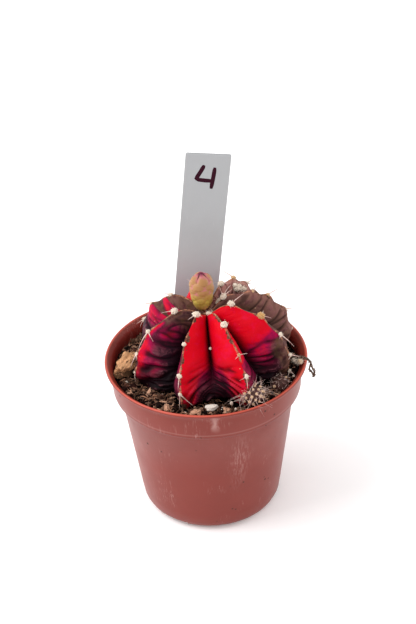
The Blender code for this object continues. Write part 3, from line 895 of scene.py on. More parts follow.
def pleats(azimuth, level, seed):
    """Rounded pleats with sharp creases between them: 0 in a crease, 1 on a pleat."""
    high = []
    for turn, step in zip(azimuth, level):
        round_x, round_y = 2.7 * math.cos(turn), 2.7 * math.sin(turn)
        warp = 1.3 * noise.noise(Vector((round_x * 1.4, round_y * 1.4, step / 7.0 - seed)))
        one = min(1.0, abs(noise.noise(Vector((round_x, round_y, (step + warp) / 3.3 + seed)))) * 2.5)
        two = min(1.0, abs(noise.noise(Vector((round_x * 2.3, round_y * 2.3, step / 1.4 - seed)))) * 3.4)
        high.append(one * (0.78 + 0.22 * two))
    return np.array(high)


def model_stem(look):
    """The stem: a ball whose rings and columns are drawn out into eight creased ribs."""
    count = len(RIBS)
    columns = count * COLUMNS_PER_RIB
    stem = primitive("uv_sphere", "stem_skin", segments=columns, ring_count=STEM_RINGS, radius=1.0)
    points = points_of(stem)
    turns = (np.arctan2(points[:, 1], points[:, 0]) / math.tau * count) % count
    lean = np.degrees(np.arcsin(np.clip(points[:, 2], -1.0, 1.0)))
    buried = lean < -76.0
    angle = np.where(buried, BURIED_ANGLE, 90.0 + (lean - 90.0) * (90.0 - BURIED_ANGLE) / 166.0)
    closing = np.where(buried, (lean + 90.0) / 14.0, 1.0)
    rib = np.floor(turns + 1e-6).astype(int) % count
    part = np.clip(turns - np.floor(turns + 1e-6), 0.0, 1.0)
    onward = part >= 0.5
    owner = np.where(onward, (rib + 1) % count, rib)
    share = np.where(onward, 1.0 - part, part) * 2.0
    reach = np.array([r[1] for r in RIBS])
    mean_reach = (reach[rib] + reach[(rib + 1) % count]) / 2.0
    stretch = reach[owner] + (mean_reach - reach[owner]) * share
    azimuth = np.radians(rib_azimuth(rib + part))
    flank = np.array(FLANKS)[owner, np.where(onward, 0, 1)]

    crest_radius, crest_height = crest_line(angle)
    groove_radius, groove_height = groove_line(angle)
    # The foot draws in under the grooves, so that each pair of ribs stands like an arch
    hollow = smooth_step(angle, -5.0, -16.0)
    front = ((owner == 0) & ~onward) | ((owner == 1) & onward)
    opened = np.where(front, smooth_step(angle, 34.0, 4.0), 0.0)
    filled = 4.0 * smooth_step(angle, 34.0, 4.0) + 2.2 * opened
    groove_radius = (groove_radius + filled * MM) * (1.0 - 0.45 * hollow)
    # A sharp crest, puffed flanks and a tight groove, which opens out at the front foot
    out = np.clip(1.0 - share**1.2, 0.0, 1.0) ** (flank[:, 4] + (1.35 - flank[:, 4]) * opened)
    radius = groove_radius + (crest_radius * stretch - groove_radius) * out
    height = groove_height + (crest_height - groove_height) * out
    height += 1.4 * MM * hollow * share**2

    # The crest swells at each areole and dips between them
    step = np.zeros(len(points))
    for index, (_, _, places) in enumerate(RIBS):
        mine = owner == index
        spots = np.array(places[::-1], dtype=float)
        step[mine] = np.interp(angle[mine], spots, np.arange(len(spots), dtype=float))
    near_crest = (1.0 - share) ** 3 * smooth_step(angle, 88.0, 70.0) * smooth_step(angle, -20.0, -5.0)
    swell = 0.40 * MM * np.cos(math.tau * step) * near_crest
    # Pleats run across the ribs and rise towards the grooves; they are deepest near the foot
    arc = (90.0 - angle) * 0.42
    low = smooth_step(angle, 44.0, 8.0)
    bow = np.sin(share * math.pi / 2.0) ** 2
    bow = share**2 + (bow - share**2) * opened
    level = arc * (1.0 + 0.5 * opened * bow) + 3.2 * bow * (low + opened) + 0.7 * bow
    pleat = pleats(azimuth, level, 3.7)
    weight = flank[:, 5] + (flank[:, 6] - flank[:, 5]) * low
    weight *= 0.22 + 0.78 * smooth_step(share, 0.03, 0.35)
    weight *= smooth_step(angle, 89.0, 74.0) * (1.0 - 0.5 * smooth_step(share, 0.75, 1.0))
    sink = look.crease * weight * (pleat - 1.0)
    lumps = [noise.noise(Vector(around(2.2, turn, z * 0.2))) for turn, z in zip(azimuth, arc)]
    push = swell + sink + 0.5 * MM * np.array(lumps) * smooth_step(angle, 89.0, 70.0)
    rise = np.radians(np.clip(angle, -10.0, 90.0))
    radius = (radius + push * np.cos(rise)) * closing
    height = height + push * np.sin(rise)
    placed = leaned(radius, azimuth, height)
    move_points(stem, placed)
    level_now = placed[:, 2] / MM

    crest_azimuth = np.radians([r[0] for r in RIBS])[owner]
    crests = leaned(crest_radius * reach[owner], crest_azimuth, crest_height)
    upper = smooth_step(angle + 5.0 * (pleat - 0.6), flank[:, 2] - 12.0, flank[:, 2] + 12.0)
    red = flank[:, 1] + (flank[:, 0] - flank[:, 1]) * upper
    brown = flank[:, 3].copy()
    # The left back rib is striped across
    across = (owner == 6) & ~onward
    stripe = smooth_step(np.abs(angle - 60.0), 3.0 + 9.0 * share, 1.5 + 6.0 * share)
    patch = smooth_step(angle - 14.0 * share, 45.0, 40.0) * smooth_step(angle - 10.0 * share, 18.0, 32.0)
    lit = np.maximum(stripe, patch)
    red = np.where(across, 0.16 + 0.46 * lit, red)
    brown = np.where(across, 0.9 * (1.0 - lit) * smooth_step(angle, 26.0, 40.0), brown)
    # The left rib: brown above, with a red patch, and red to magenta down its crest
    left = (owner == 7) & ~onward
    edge = smooth_step(share, 0.5, 0.12) * within(angle, -12.0, 6.0, 40.0, 47.0)
    blush = np.exp(-(((angle - 55.0) / 11.0) ** 2) - (((share - 0.45) / 0.25) ** 2))
    magenta = smooth_step(share, 0.85, 0.5) * within(angle, -6.0, 4.0, 24.0, 34.0)
    redder = np.maximum(np.maximum(0.52 * edge, 0.5 * blush), 0.36 * magenta)
    red = np.where(left, 0.16 + redder, red)
    strip = smooth_step(share, 0.26, 0.06) * within(angle, 38.0, 44.0, 60.0, 68.0)
    red = np.where(left, np.maximum(red, 0.7 * strip), red)
    edge = np.maximum(edge, 0.85 * strip)
    rusty = smooth_step(angle, 38.0, 66.0) * (0.55 + 0.4 * smooth_step(share, 0.3, 0.05))
    brown = np.where(left, (1.0 - edge) * (1.0 - 0.5 * blush) * rusty, brown)
    # Towards the foot the front ribs' inner flanks darken before their crests do
    shade = smooth_step(angle, 40.0, 14.0) * smooth_step(share, 0.30, 0.66)
    red = np.where(front, red - 0.60 * shade, red)
    # The right rib's far flank is rusty beside its crest, and redder low down towards its groove
    right = (owner == 2) & onward
    glow = smooth_step(share, 0.3, 0.55) * smooth_step(angle, 0.0, 20.0) * (1.0 - upper)
    rust = 0.72 * smooth_step(share, 0.62, 0.16) * smooth_step(angle, 34.0, 24.0)
    red = np.where(right, red + 0.3 * glow, red)
    brown = np.where(right, np.maximum(brown, rust), brown)
    # Every rib is less red just above the mix towards its grooves: partly painted shade at the foot,
    # partly a deeper skin colour
    red *= 1.0 - 0.45 * smooth_step(level_now, 52.5, 47.0) * smooth_step(share, 0.1, 0.7)
    # The sheltered flanks lie in shade
    dim = np.zeros(len(points))
    for mask, shelter in (
        (front, 0.74 * smooth_step(angle, 42.0, 6.0) * smooth_step(share, 0.12, 0.55)),
        ((owner == 0) & ~onward, 0.62 * smooth_step(level_now, 55.0, 47.5)),
        (right, 0.8 * smooth_step(angle, 33.0, 4.0)),
        (left, 0.97 * smooth_step(angle - 14.0 * share, 22.0, 0.0)),
        (left, smooth_step(level_now - 2.0 * share, 52.5, 48.5)),
        (left, 0.3 * smooth_step(share, 0.15, 0.5)),
    ):
        dim = np.where(mask, np.maximum(dim, shelter), dim)
    store(
        stem,
        pale=np.where(owner == 3, 0.62 * smooth_step(share, 0.75, 0.0), owner == 4),
        dim=dim,
        red=red,
        brown=brown,
        # pleat carries the painted highlights and crease shade, groove the painted shade in each groove
        pleat=1.0 - (1.0 - pleat) * np.clip(weight * 1.5, 0.0, 1.0),
        folded=np.clip(weight, 0.0, 1.0),
        groove=smooth_step(share, 0.70, 1.0) * (1.0 - 0.62 * opened),
        beside=np.linalg.norm(placed - crests, axis=1) / MM,
        cork=np.choose(np.minimum(owner, 2), (1.0, 0.7, 0.45)),
    )
    return stem


# ---- areoles and spines ----

FUZZ_FIBRES = 46  # on each areole

WOOL_RADII = (  # of each rib's areoles from the crown down, in millimetres
    (1.02, 0.60, 0.68, 0.50),
    (1.06, 0.48, 0.64),
    (1.06, 1.14, 0.68, 0.60, 0.55),
    (0.95, 0.60, 0.55, 0.50, 0.45),
    (0.90, 0.70, 0.62, 0.55),
    (0.80, 0.70, 0.60),
    (0.70, 0.62, 0.72, 0.50),
    (1.00, 0.70, 0.52, 0.50),
)
OLD_WOOL = {(2, 1): 1.0, (1, 1): 0.9, (3, 1): 0.7, (3, 2): 0.7, (3, 3): 0.6, (4, 1): 0.7}  # rib, place
# Long spines: rib, place down it, direction and length in millimetres
LONG_SPINES = (
    (7, 0, (-1.0, -0.15, 0.10), 3.8),
    (7, 1, (-0.80, -0.55, -0.70), 6.4),
    (7, 1, (0.30, -0.95, -0.35), 3.6),
    (7, 2, (-0.62, -0.45, -0.85), 4.6),
    (7, 3, (-0.20, -0.35, -0.85), 3.0),
    (6, 0, (-0.80, 0.05, 0.25), 2.8),
    (6, 1, (-1.0, 0.05, 0.05), 3.6),
    (6, 2, (-0.9, -0.10, -0.35), 3.0),
    (0, 0, (-0.85, -0.35, -0.25), 2.6),
    (0, 2, (-0.18, -0.50, -0.90), 5.0),
    (0, 3, (0.70, -0.50, -0.55), 4.6),
    (0, 3, (-0.15, -0.40, -0.90), 4.2),
    (1, 0, (-0.20, -0.45, -0.85), 2.2),
    (1, 2, (0.10, -0.50, -0.90), 3.8),
    (2, 0, (0.80, 0.35, 0.55), 5.2),
    (2, 1, (0.95, -0.10, -0.15), 3.2),
    (2, 2, (0.80, -0.25, -0.55), 5.6),
    (2, 3, (0.85, -0.10, -0.10), 3.6),
    (2, 4, (0.55, -0.30, -0.40), 2.6),
    (3, 0, (0.45, 0.45, 0.90), 4.6),
    (3, 0, (-0.30, -0.2, 1.0), 5.2),
    (3, 0, (0.80, 0.35, 0.65), 3.6),
    (3, 1, (0.60, 0.50, 0.60), 2.6),
    (3, 2, (0.85, 0.30, 0.45), 4.4),
    (3, 3, (1.0, 0.10, 0.05), 4.2),
    (4, 1, (-0.75, 0.30, 0.55), 5.4),
    (4, 2, (0.75, 0.60, 0.20), 3.6),
    (5, 1, (-0.60, 0.50, 0.50), 3.4),
)


def areoles_of(rib):
    """(place down it, wool radius, foot, outward, along) of each of a rib's areoles."""
    for place, angle in enumerate(RIBS[rib][2]):
        yield place, WOOL_RADII[rib][place] * MM, *crest_frame(rib, angle)


def model_wool(rib, rng):
    """A rib's areoles: felted cushions with a fuzz of short fibres."""
    cushions, tones, fuzz = [], [], []
    for place, size, foot, outward, _ in areoles_of(rib):
        centre = foot + outward * (0.5 * size)
        turned = facing(outward, rng.uniform(0.0, 6.0))
        cushions.append(sized(centre, turned, size * rng.uniform(0.85, 1.1), size, size * 0.78))
        tones.append(OLD_WOOL.get((rib, place), rng.uniform(0.0, 0.3)))
        for _ in range(FUZZ_FIBRES):
            way = (some_way(rng) + outward * 0.55).normalized()
            start = centre + way * (size * 0.62)
            bend = some_way(rng) * 0.5 - Vector((0.0, 0.0, 0.25))
            fuzz.append(bent_path(start, way, size * rng.uniform(0.4, 0.8), bend, 0.045 * MM, 4))
    wool = scattered(f"areole_wool_{rib + 1}", seed_shape(4), cushions, tones, rng, 0.05)
    points = points_of(wool)
    near = [Vector(point) for point in points]
    lumps = [noise.noise(p / (0.42 * MM)) + 0.6 * noise.noise(p / (0.2 * MM)) for p in near]
    spans = len(points) // len(cushions)
    centres = np.repeat([matrix.translation[:] for matrix in cushions], spans, axis=0)
    points = centres + (points - centres) * (1.0 + 0.32 * np.array(lumps))[:, None]
    move_points(wool, points)
    return wool, strands(f"areole_fuzz_{rib + 1}", fuzz, 0)


def model_spines(rib, look, rng):
    """A rib's spines: curved, tapering, one to four from each areole."""
    paths = []
    for place, size, foot, outward, along in areoles_of(rib):
        across = outward.cross(along)
        start = foot + outward * (0.5 * size)
        for spine_rib, spine_place, way, length in LONG_SPINES:
            if (spine_rib, spine_place) == (rib, place):
                way = Vector(way).normalized()
                bend = outward * -0.16 + some_way(rng) * 0.08
                paths.append(bent_path(start, way, length * MM, bend, look.thickness, 9))
        for side in (-1.0, 1.0):
            if rng.random() < 0.55:
                way = (across * side + along * rng.uniform(0.1, 0.7) + outward * 0.35).normalized()
                bend = outward * -0.2 + some_way(rng) * 0.1
                length = rng.uniform(1.4, 2.8) * MM
                paths.append(bent_path(start, way, length, bend, look.thickness * 0.75, 6))
    return strands(f"spines_{rib + 1}", paths, 1)


# ---- bud ----

BUD_LOW, BUD_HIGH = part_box("flower_bud")
BUD_AXIS = (BUD_LOW + BUD_HIGH) / 2.0
BUD_TALL = BUD_HIGH.z - BUD_LOW.z
BUD_WIDTHS = (  # share of its height, radius in millimetres
    (0.0, 1.35), (0.10, 1.75), (0.26, 2.32), (0.42, 2.75), (0.56, 3.05), (0.68, 3.08),
    (0.80, 2.75), (0.89, 2.1), (0.955, 1.25), (0.99, 0.5), (1.0, 0.0),
)


def bud_radius(rise):
    """The bud's radius at a share of its height."""
    shares, widths = zip(*BUD_WIDTHS)
    return np.interp(rise, shares, widths) * 1.04 * MM


def model_bud(look):
    """The bud: a solid core, wrapped in plump overlapping scales that close over its top."""
    foot = np.array((BUD_AXIS.x, BUD_AXIS.y, BUD_LOW.z))
    core = primitive("uv_sphere", "bud_core", segments=48, ring_count=40, radius=1.0)
    points = points_of(core)
    rise = (1.0 + points[:, 2]) / 2.0
    turn = np.arctan2(points[:, 1], points[:, 0])
    width = bud_radius(rise) * 0.9 * np.where(np.abs(points[:, 2]) > 0.9999, 0.0, 1.0)
    place = np.stack((width * np.cos(turn), width * np.sin(turn), rise * BUD_TALL * 0.985), axis=-1)
    move_points(core, place + foot)
    # The core is painted in shade where it shows between the scales
    store(core, rise=rise, edge=0.2, seam=0.9, tip=0.0)
    scales = []
    for row in range(look.rows):
        base = 0.02 + 0.132 * row
        scales_round = 5 if row < look.rows - 1 else 4
        for index in range(scales_round):
            scale = primitive("grid", "bud_scale", x_subdivisions=16, y_subdivisions=20, size=2.0)
            flat = points_of(scale)
            across, along = flat[:, 0], (flat[:, 1] + 1.0) / 2.0
            outline = np.sqrt(np.clip(1.0 - (np.clip(along - 0.5, 0.0, 0.5) / 0.5) ** 2.4, 0.0, 1.0))
            span = math.radians(47.0) * (0.7 + 0.3 * smooth_step(along, 0.0, 0.35)) * outline
            middle = math.tau * (index + 0.5 * (row % 2)) / scales_round + 0.12 * row - 1.15
            level = base + along * (1.0 - base if row == look.rows - 1 else 0.33 - 0.012 * row)
            puff = (1.0 - across**2) * np.sin(math.pi * np.clip(along * 0.92 + 0.04, 0.0, 1.0))
            stand = 0.12 + 0.3 * along + 0.6 * puff - 0.05 * row
            reach = bud_radius(level)
            reach = reach * 0.93 + stand * MM * np.minimum(reach / (1.6 * MM), 1.0)
            turn = middle + across * span
            tall = level * BUD_TALL + 0.12 * MM * puff
            points = np.stack((reach * np.cos(turn), reach * np.sin(turn), tall), axis=-1)
            move_points(scale, points + foot)
            store(
                scale,
                rise=np.clip(level, 0.0, 1.0),
                edge=np.maximum(np.abs(across) ** 1.5, smooth_step(along, 0.62, 1.0)),
                # painted shade at the scale's foot, where the row below covers it
                seam=smooth_step(along, 0.16, 0.0),
                tip=smooth_step(level, 0.955, 0.985),
            )
            apply_modifier(scale, "SOLIDIFY", thickness=0.22 * MM, offset=-1.0)
            scales.append(scale)
    pick(core)
    for scale in scales:
        scale.select_set(True)
    bpy.ops.object.join()
    bud = named("bud")
    edit_all()
    close_edit()
    return bud


# ---- offsets ----

HAIRS_PER_KNOB = 3


def spiral_ways(count):
    """Directions spread evenly over a ball."""
    ways = []
    for index in range(count):
        z = 1.0 - 2.0 * (index + 0.5) / count
        turn = index * math.pi * (3.0 - math.sqrt(5.0))
        flat = math.sqrt(1.0 - z * z)
        ways.append(Vector((flat * math.cos(turn), flat * math.sin(turn), z)))
    return ways


def model_offset(node, look, rng, beaded):
    """An offset: a knobbly ball, a cream bead on most of its knobs and many curly hairs."""
    low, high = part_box(node)
    centre, radius = (low + high) / 2.0, (high.x - low.x) / 2.0
    ways = spiral_ways(look.knobs)
    ball = primitive("ico_sphere", f"{node}_skin", subdivisions=6, radius=1.0)
    points = points_of(ball)
    closest = np.max(points @ np.array(ways).T, axis=1)
    knob = smooth_step(closest, 0.90, 0.995)
    points *= (radius * (0.84 + 0.15 * knob))[:, None]
    move_points(ball, points + np.array(centre))
    store(ball, knob=knob)
    beads, tones, hairs = [], [], []
    for way in ways:
        if way.z < -0.45:
            continue
        spot = centre + way * radius
        if rng.random() < beaded:
            size = rng.uniform(0.34, 0.52) * MM
            beads.append(sized(spot + way * 0.1 * MM, facing(way), size, size, size * 0.9))
            tones.append(rng.random())
        for _ in range(HAIRS_PER_KNOB):
            start = spot + way * 0.1 * MM
            out = (way + some_way(rng) * 0.9).normalized()
            bend = some_way(rng) * 1.1 - Vector((0.0, 0.0, 0.2))
            long = rng.uniform(0.9, 2.9) * (beaded * 0.6 + 0.4) * MM
            hairs.append(bent_path(start, out, long, bend, (0.06 + 0.04 * beaded) * MM, 7))
    for _ in range(int(11 * beaded)):
        side = Vector((-0.85, rng.uniform(-0.8, -0.2), rng.uniform(-0.1, 0.5))).normalized()
        out = (side + Vector((-0.5, -0.2, 0.3)) + some_way(rng) * 0.4).normalized()
        bend = some_way(rng) * 1.2 - Vector((0.0, 0.0, 0.5))
        long = rng.uniform(2.2, 4.0) * MM
        hairs.append(bent_path(centre + side * radius, out, long, bend, 0.1 * MM, 9))
    bead = scattered(f"{node}_beads", seed_shape(3), beads, tones, rng, 0.05)
    return ball, bead, strands(f"{node}_hairs", hairs, 0)


# ---- withered flower ----

WITHERED_ROUTES = (  # millimetres: over the rim, then two hanging branches
    (
        (24.8, -4.5, 50.6), (26.6, -5.0, 51.4), (28.3, -5.9, 51.9),
        (29.6, -6.7, 51.8), (30.5, -7.4, 51.0), (30.7, -7.9, 50.2),
    ),
    (
        (30.6, -7.8, 50.3), (30.9, -8.1, 49.6), (31.2, -8.3, 49.0),
        (31.6, -8.5, 48.4), (31.5, -8.8, 47.4), (31.2, -8.9, 47.0),
    ),
    (
        (30.5, -7.7, 50.4), (30.2, -8.1, 49.7), (30.0, -8.3, 49.2),
        (30.5, -8.6, 48.6), (31.0, -8.8, 47.9), (31.3, -8.9, 47.3),
    ),
)
LOOSE_ENDS, SCRAPS = 14, 26


def model_withered_flower(rng):
    """A shrivelled tube of twisted strands that forks where it hangs, with crumbling scraps."""
    paths, ends = [], []
    for branch, route in enumerate(WITHERED_ROUTES):
        route = [Vector(point) * MM for point in route]
        ends += route[2:] if branch else route[3:5]
        for strand in range(5 if branch == 0 else 3):
            phase = strand * math.tau / 5.0
            path = []
            for index, point in enumerate(route):
                spread = (0.45, 0.4, 0.28, 0.24, 0.26, 0.2)[index] * (1.0 if branch == 0 else 0.7) * MM
                turn = phase + index * 1.1
                aside = Vector((math.cos(turn) * 0.4, math.cos(turn), math.sin(turn))) * spread
                path.append((point + aside + some_way(rng) * 0.1 * MM, rng.uniform(0.13, 0.22) * MM))
            paths.append(path)
    for _ in range(LOOSE_ENDS):
        start = rng.choice(ends) + some_way(rng) * 0.2 * MM
        way = (some_way(rng) + Vector((0.2, -0.2, -0.3))).normalized()
        long = rng.uniform(0.5, 1.3) * MM
        paths.append(bent_path(start, way, long, some_way(rng) * 0.5, 0.1 * MM, 4))
    tube = strands("withered_tube", paths, 1)
    scraps, tones = [], []
    for _ in range(SCRAPS):
        spot = rng.choice(ends) + some_way(rng) * rng.uniform(0.1, 0.4) * MM
        size = rng.uniform(0.18, 0.42) * MM
        scraps.append(sized(spot, tumbled(rng), size, size * 0.6, size * 0.45))
        tones.append(rng.random())
    return tube, scattered("withered_scraps", seed_shape(2), scraps, tones, rng, 0.3)


TUFTS = (  # (centre, radius, how old) of loose wool, millimetres
    ((26.1, -5.2, 50.7), 0.95, 0.35),
    ((27.4, -6.3, 50.9), 1.05, 0.55),
    ((26.9, -5.3, 50.0), 0.9, 0.2),
    ((4.4, 3.6, 66.2), 1.35, 0.15),
    ((1.7, -0.6, 65.6), 1.05, 0.25),
    ((5.6, 13.2, 66.3), 1.15, 0.35),
    ((6.0, 14.0, 65.2), 0.85, 0.5),
    ((9.3, 10.9, 66.5), 1.3, -0.2),
    ((10.9, 10.7, 66.2), 1.2, -0.2),
    ((12.2, 11.0, 65.6), 0.8, -0.2),
)
SEEDS = (  # (centre, half width, half height) of fallen seeds and grains, millimetres
    ((6.7, -22.3, 48.6), 0.46, 0.68),
    ((7.8, -24.5, 48.1), 0.33, 0.44),
    ((1.4, -11.6, 60.6), 0.42, 0.4),
    ((25.3, -9.9, 48.1), 0.36, 0.3),
)
TUFT_HAIRS = 44


def model_tufts(rng):
    """Loose wool in the crown and beside the rim, and a few cream seeds that have fallen."""
    balls, tones, hairs = [], [], []
    for centre, radius, age in TUFTS:
        centre = Vector(centre) * MM
        for _ in range(5):
            size = radius * rng.uniform(0.5, 0.75) * MM
            spot = centre + some_way(rng) * (radius * 0.45 * MM)
            balls.append(sized(spot, Matrix(), size, size, size * 0.85))
            tones.append(age + rng.uniform(-0.15, 0.15))
        for _ in range(TUFT_HAIRS):
            way = some_way(rng)
            start = centre + way * (radius * 0.75 * MM)
            long = rng.uniform(0.5, 1.1) * radius * MM
            hairs.append(bent_path(start, way, long, some_way(rng) * 0.6, 0.05 * MM, 5))
    for centre, wide, tall in SEEDS:
        size = (wide * MM, wide * MM, max(wide, tall) * MM)
        balls.append(sized(Vector(centre) * MM, Matrix(), *size))
        tones.append(0.3)
    wool = scattered("loose_wool", seed_shape(4), balls, tones, rng, 0.07)
    return wool, strands("loose_hairs", hairs, 0)


# ---- label ----

LABEL_WIDTH, LABEL_LENGTH, LABEL_THICKNESS = 13.0 * MM, 90.0 * MM, 0.5 * MM
LABEL_POINT = 11.0 * MM
LABEL_TOP = Vector((3.7, 29.2, 101.8)) * MM
LABEL_LEAN_BACK, LABEL_LEAN_RIGHT = 7.5, 7.2
FIGURE_STROKES = (  # a plain figure four: across the label and down from its top, millimetres
    ((-1.0, -3.7), (-1.6, -5.2), (-2.4, -6.8), (-3.0, -8.0), (-2.2, -8.4), (-0.4, -8.5), (1.8, -8.5)),
    ((2.2, -4.2), (2.05, -6.4), (1.85, -8.6), (1.6, -11.0)),
)


def label_matrix():
    """From the label's own frame, with its top edge at z = 0, to its place in the pot."""
    back = Matrix.Rotation(math.radians(-LABEL_LEAN_BACK), 4, "X")
    right = Matrix.Rotation(math.radians(LABEL_LEAN_RIGHT), 4, "Y")
    return Matrix.Translation(LABEL_TOP) @ back @ right


def label_bow(points):
    """How far the strip bows out of its plane, because thin sheet never stays flat."""
    return 0.25 * MM * np.sin(points[:, 2] / LABEL_LENGTH * math.pi * 1.3)


def model_label():
    """A strip cut to a point at its foot, with rounded top corners and eased edges."""
    label = primitive("cube", "label_strip", size=1.0, location=(0.0, 0.0, -LABEL_LENGTH / 2.0))
    label.scale = (LABEL_WIDTH, LABEL_THICKNESS, LABEL_LENGTH)
    settle(label)
    bpy.ops.object.mode_set(mode="EDIT")
    bpy.ops.mesh.select_all(action="DESELECT")
    bpy.ops.object.mode_set(mode="OBJECT")
    for edge in label.data.edges:
        ends = [label.data.vertices[i].co for i in edge.vertices]
        at_top = all(abs(end.z) < 1e-6 for end in ends)
        edge.select = at_top and abs(ends[0].x - ends[1].x) < 1e-6
    bpy.ops.object.mode_set(mode="EDIT")
    bpy.ops.mesh.select_mode(type="EDGE")
    bpy.ops.mesh.bevel(offset=0.4 * MM, segments=4)
    for cut in (LABEL_POINT - LABEL_LENGTH, *(-LABEL_LENGTH * level / 9.0 for level in range(1, 9))):
        bpy.ops.mesh.select_all(action="SELECT")
        bpy.ops.mesh.bisect(plane_co=(0.0, 0.0, cut), plane_no=(0.0, 0.0, 1.0))
    bpy.ops.object.mode_set(mode="OBJECT")
    points = points_of(label)
    taper = np.clip((points[:, 2] + LABEL_LENGTH) / LABEL_POINT, 0.12, 1.0)
    # The strip widens a little towards its top, and its end is not cut quite square
    shown = np.clip(1.0 + points[:, 2] / (50.0 * MM), 0.0, 1.0)
    points[:, 2] += 0.03 * points[:, 0] * shown
    points[:, 0] *= taper * (1.0 + 0.04 * shown)
    points[:, 1] += label_bow(points)
    move_points(label, points)
    apply_modifier(label, "BEVEL", width=0.09 * MM, segments=2, limit_method="ANGLE", angle_limit=0.6)
    label.data.transform(label_matrix())
    return label


def model_figure(look):
    """The figure's strokes: flat lines of ink on the label's front."""
    paths = []
    for stroke in FIGURE_STROKES:
        finer = []
        for (x1, z1), (x2, z2) in zip(stroke, stroke[1:]):
            finer += [(x1 + (x2 - x1) * k / 3.0, z1 + (z2 - z1) * k / 3.0) for k in range(3)]
        finer.append(stroke[-1])
        last = len(finer) - 1
        path = []
        for index, (x, z) in enumerate(finer):
            ends = min(index, last - index)
            width = look.stroke / 2.0 * (0.62, 0.9, 1.0)[min(ends, 2)]
            path.append((Vector((x * MM, 0.0, z * MM)), width))
        paths.append(path)
    figure = strands("label_figure", paths, 3)
    points = points_of(figure)
    points[:, 1] = label_bow(points) - LABEL_THICKNESS / 2.0 + points[:, 1] * 0.04
    move_points(figure, points)
    figure.data.transform(label_matrix())
    return figure


# ---- potting mix ----

BED_RADIUS = 27.3 * MM
ROOTY_FIBRES, SPLINTERS, GRAINS = 90, 560, 70
# The larger pieces: how finely divided, how boxy, how lumpy, how rough, how grooved, and for some
# of them their size, slant, lift and taper
PIECES = {
    "wood_chip_1": (5, 0.6, 0.3, 0.1, 0.3),
    "wood_chip_2": (5, 0.6, 0.3, 0.1, 0.3),
    "wood_chip_3": (5, 0.6, 0.3, 0.1, 0.3),
    "perlite_1": (5, 0.3, 0.14, 0.03, 0.0, 0.86, 0.22, 0.2 * MM, 0.5),
    "perlite_2": (5, 0.25, 0.2, 0.04, 0.0, 0.6),
    "bark_chip": (6, 0.4, 0.36, 0.05, 0.16, 1.28, 0.45, 1.1 * MM),
}


def bed_height(x, y):
    """Height of the mix's top: lumpy, and lower in the hollow by the stem's foot."""
    here = Vector((x, y, 0.0))
    coarse = noise.noise(here / (5.0 * MM)) * 0.8
    middling = noise.noise(here / (1.7 * MM)) * 0.5
    fine = noise.noise(here / (0.6 * MM)) * 0.22
    return MIX_LEVEL + (coarse + middling + fine - 1.1 * shaded(x, y)) * MM


def stem_foot_radius(turn):
    """How far the stem reaches from its axis at the level of the mix, by azimuth."""
    degrees = (math.degrees(turn) - STOPS[0]) % 360.0 + STOPS[0]
    place = float(np.interp(degrees, STOPS, range(len(STOPS)))) / 2.0
    share = abs(place - round(place)) * 2.0
    reach = RIBS[round(place) % len(RIBS)][1]
    out = max(0.0, 1.0 - share**1.2) ** 0.6
    return GROOVE_RADIUS * 0.8 + (CREST_RADIUS * 0.955 * reach - GROOVE_RADIUS * 0.8) * out


def clear_of_stem(x, y):
    """How far a place on the mix is from the stem's foot."""
    near = Vector((x, y, 0.0)) - AXIS_FOOT + Vector((0.4, 0.2, 0.0)) * MM
    return near.xy.length - stem_foot_radius(math.atan2(near.y, near.x))


def shaded(x, y):
    """How much painted shade darkens the mix in the hollow by the stem's foot: 1 there, 0 in the open."""
    foot_shade = float(smooth_step(np.array(clear_of_stem(x, y) / MM), 4.2, 1.2))
    return foot_shade if y < 4.0 * MM else foot_shade * 0.5


def mix_spot(rng, margin, edge):
    """A random place on the open mix, clear of the stem by a margin and inside an edge radius."""
    while True:
        turn = rng.uniform(-math.pi, math.pi)
        radius = math.sqrt(rng.uniform(0.12, 1.0)) * edge
        x, y = radius * math.cos(turn), radius * math.sin(turn)
        if clear_of_stem(x, y) > margin:
            return x, y


def model_bed():
    """The mix itself: a plug whose top is finely divided and lumpy."""
    bed = primitive("grid", "mix_bed", x_subdivisions=190, y_subdivisions=190, size=2.0 * BED_RADIUS)
    points = points_of(bed)
    # Round the square grid off to a disc
    wide = np.maximum(np.abs(points[:, 0]), np.abs(points[:, 1]))
    length = np.maximum(np.hypot(points[:, 0], points[:, 1]), 1e-9)
    points[:, :2] *= (wide / length)[:, None]
    points[:, 2] = [bed_height(x, y) for x, y, _ in points]
    move_points(bed, points)
    edit_all()
    bpy.ops.mesh.region_to_loop()
    radius, level = BED_RADIUS, MIX_LEVEL
    for wide, deep in ((26.9 * MM, 41.2 * MM), (24.7 * MM, 37.8 * MM), (20.0 * MM, 7.0 * MM)):
        bpy.ops.mesh.extrude_region_move(TRANSFORM_OT_translate={"value": (0.0, 0.0, deep - level)})
        flat = 0.0 if level == MIX_LEVEL else 1.0
        bpy.ops.transform.resize(value=(wide / radius, wide / radius, flat))
        radius, level = wide, deep
    bpy.ops.mesh.edge_face_add()
    close_edit()
    places = [Vector(point) for point in points_of(bed)]
    # Painted shade: the tone is lowered in the hollow by the stem's foot
    tones = [0.15 + 0.4 * noise.noise(p / (1.1 * MM)) - 0.4 * shaded(p.x, p.y) for p in places]
    store(bed, tone=tones)
    return bed


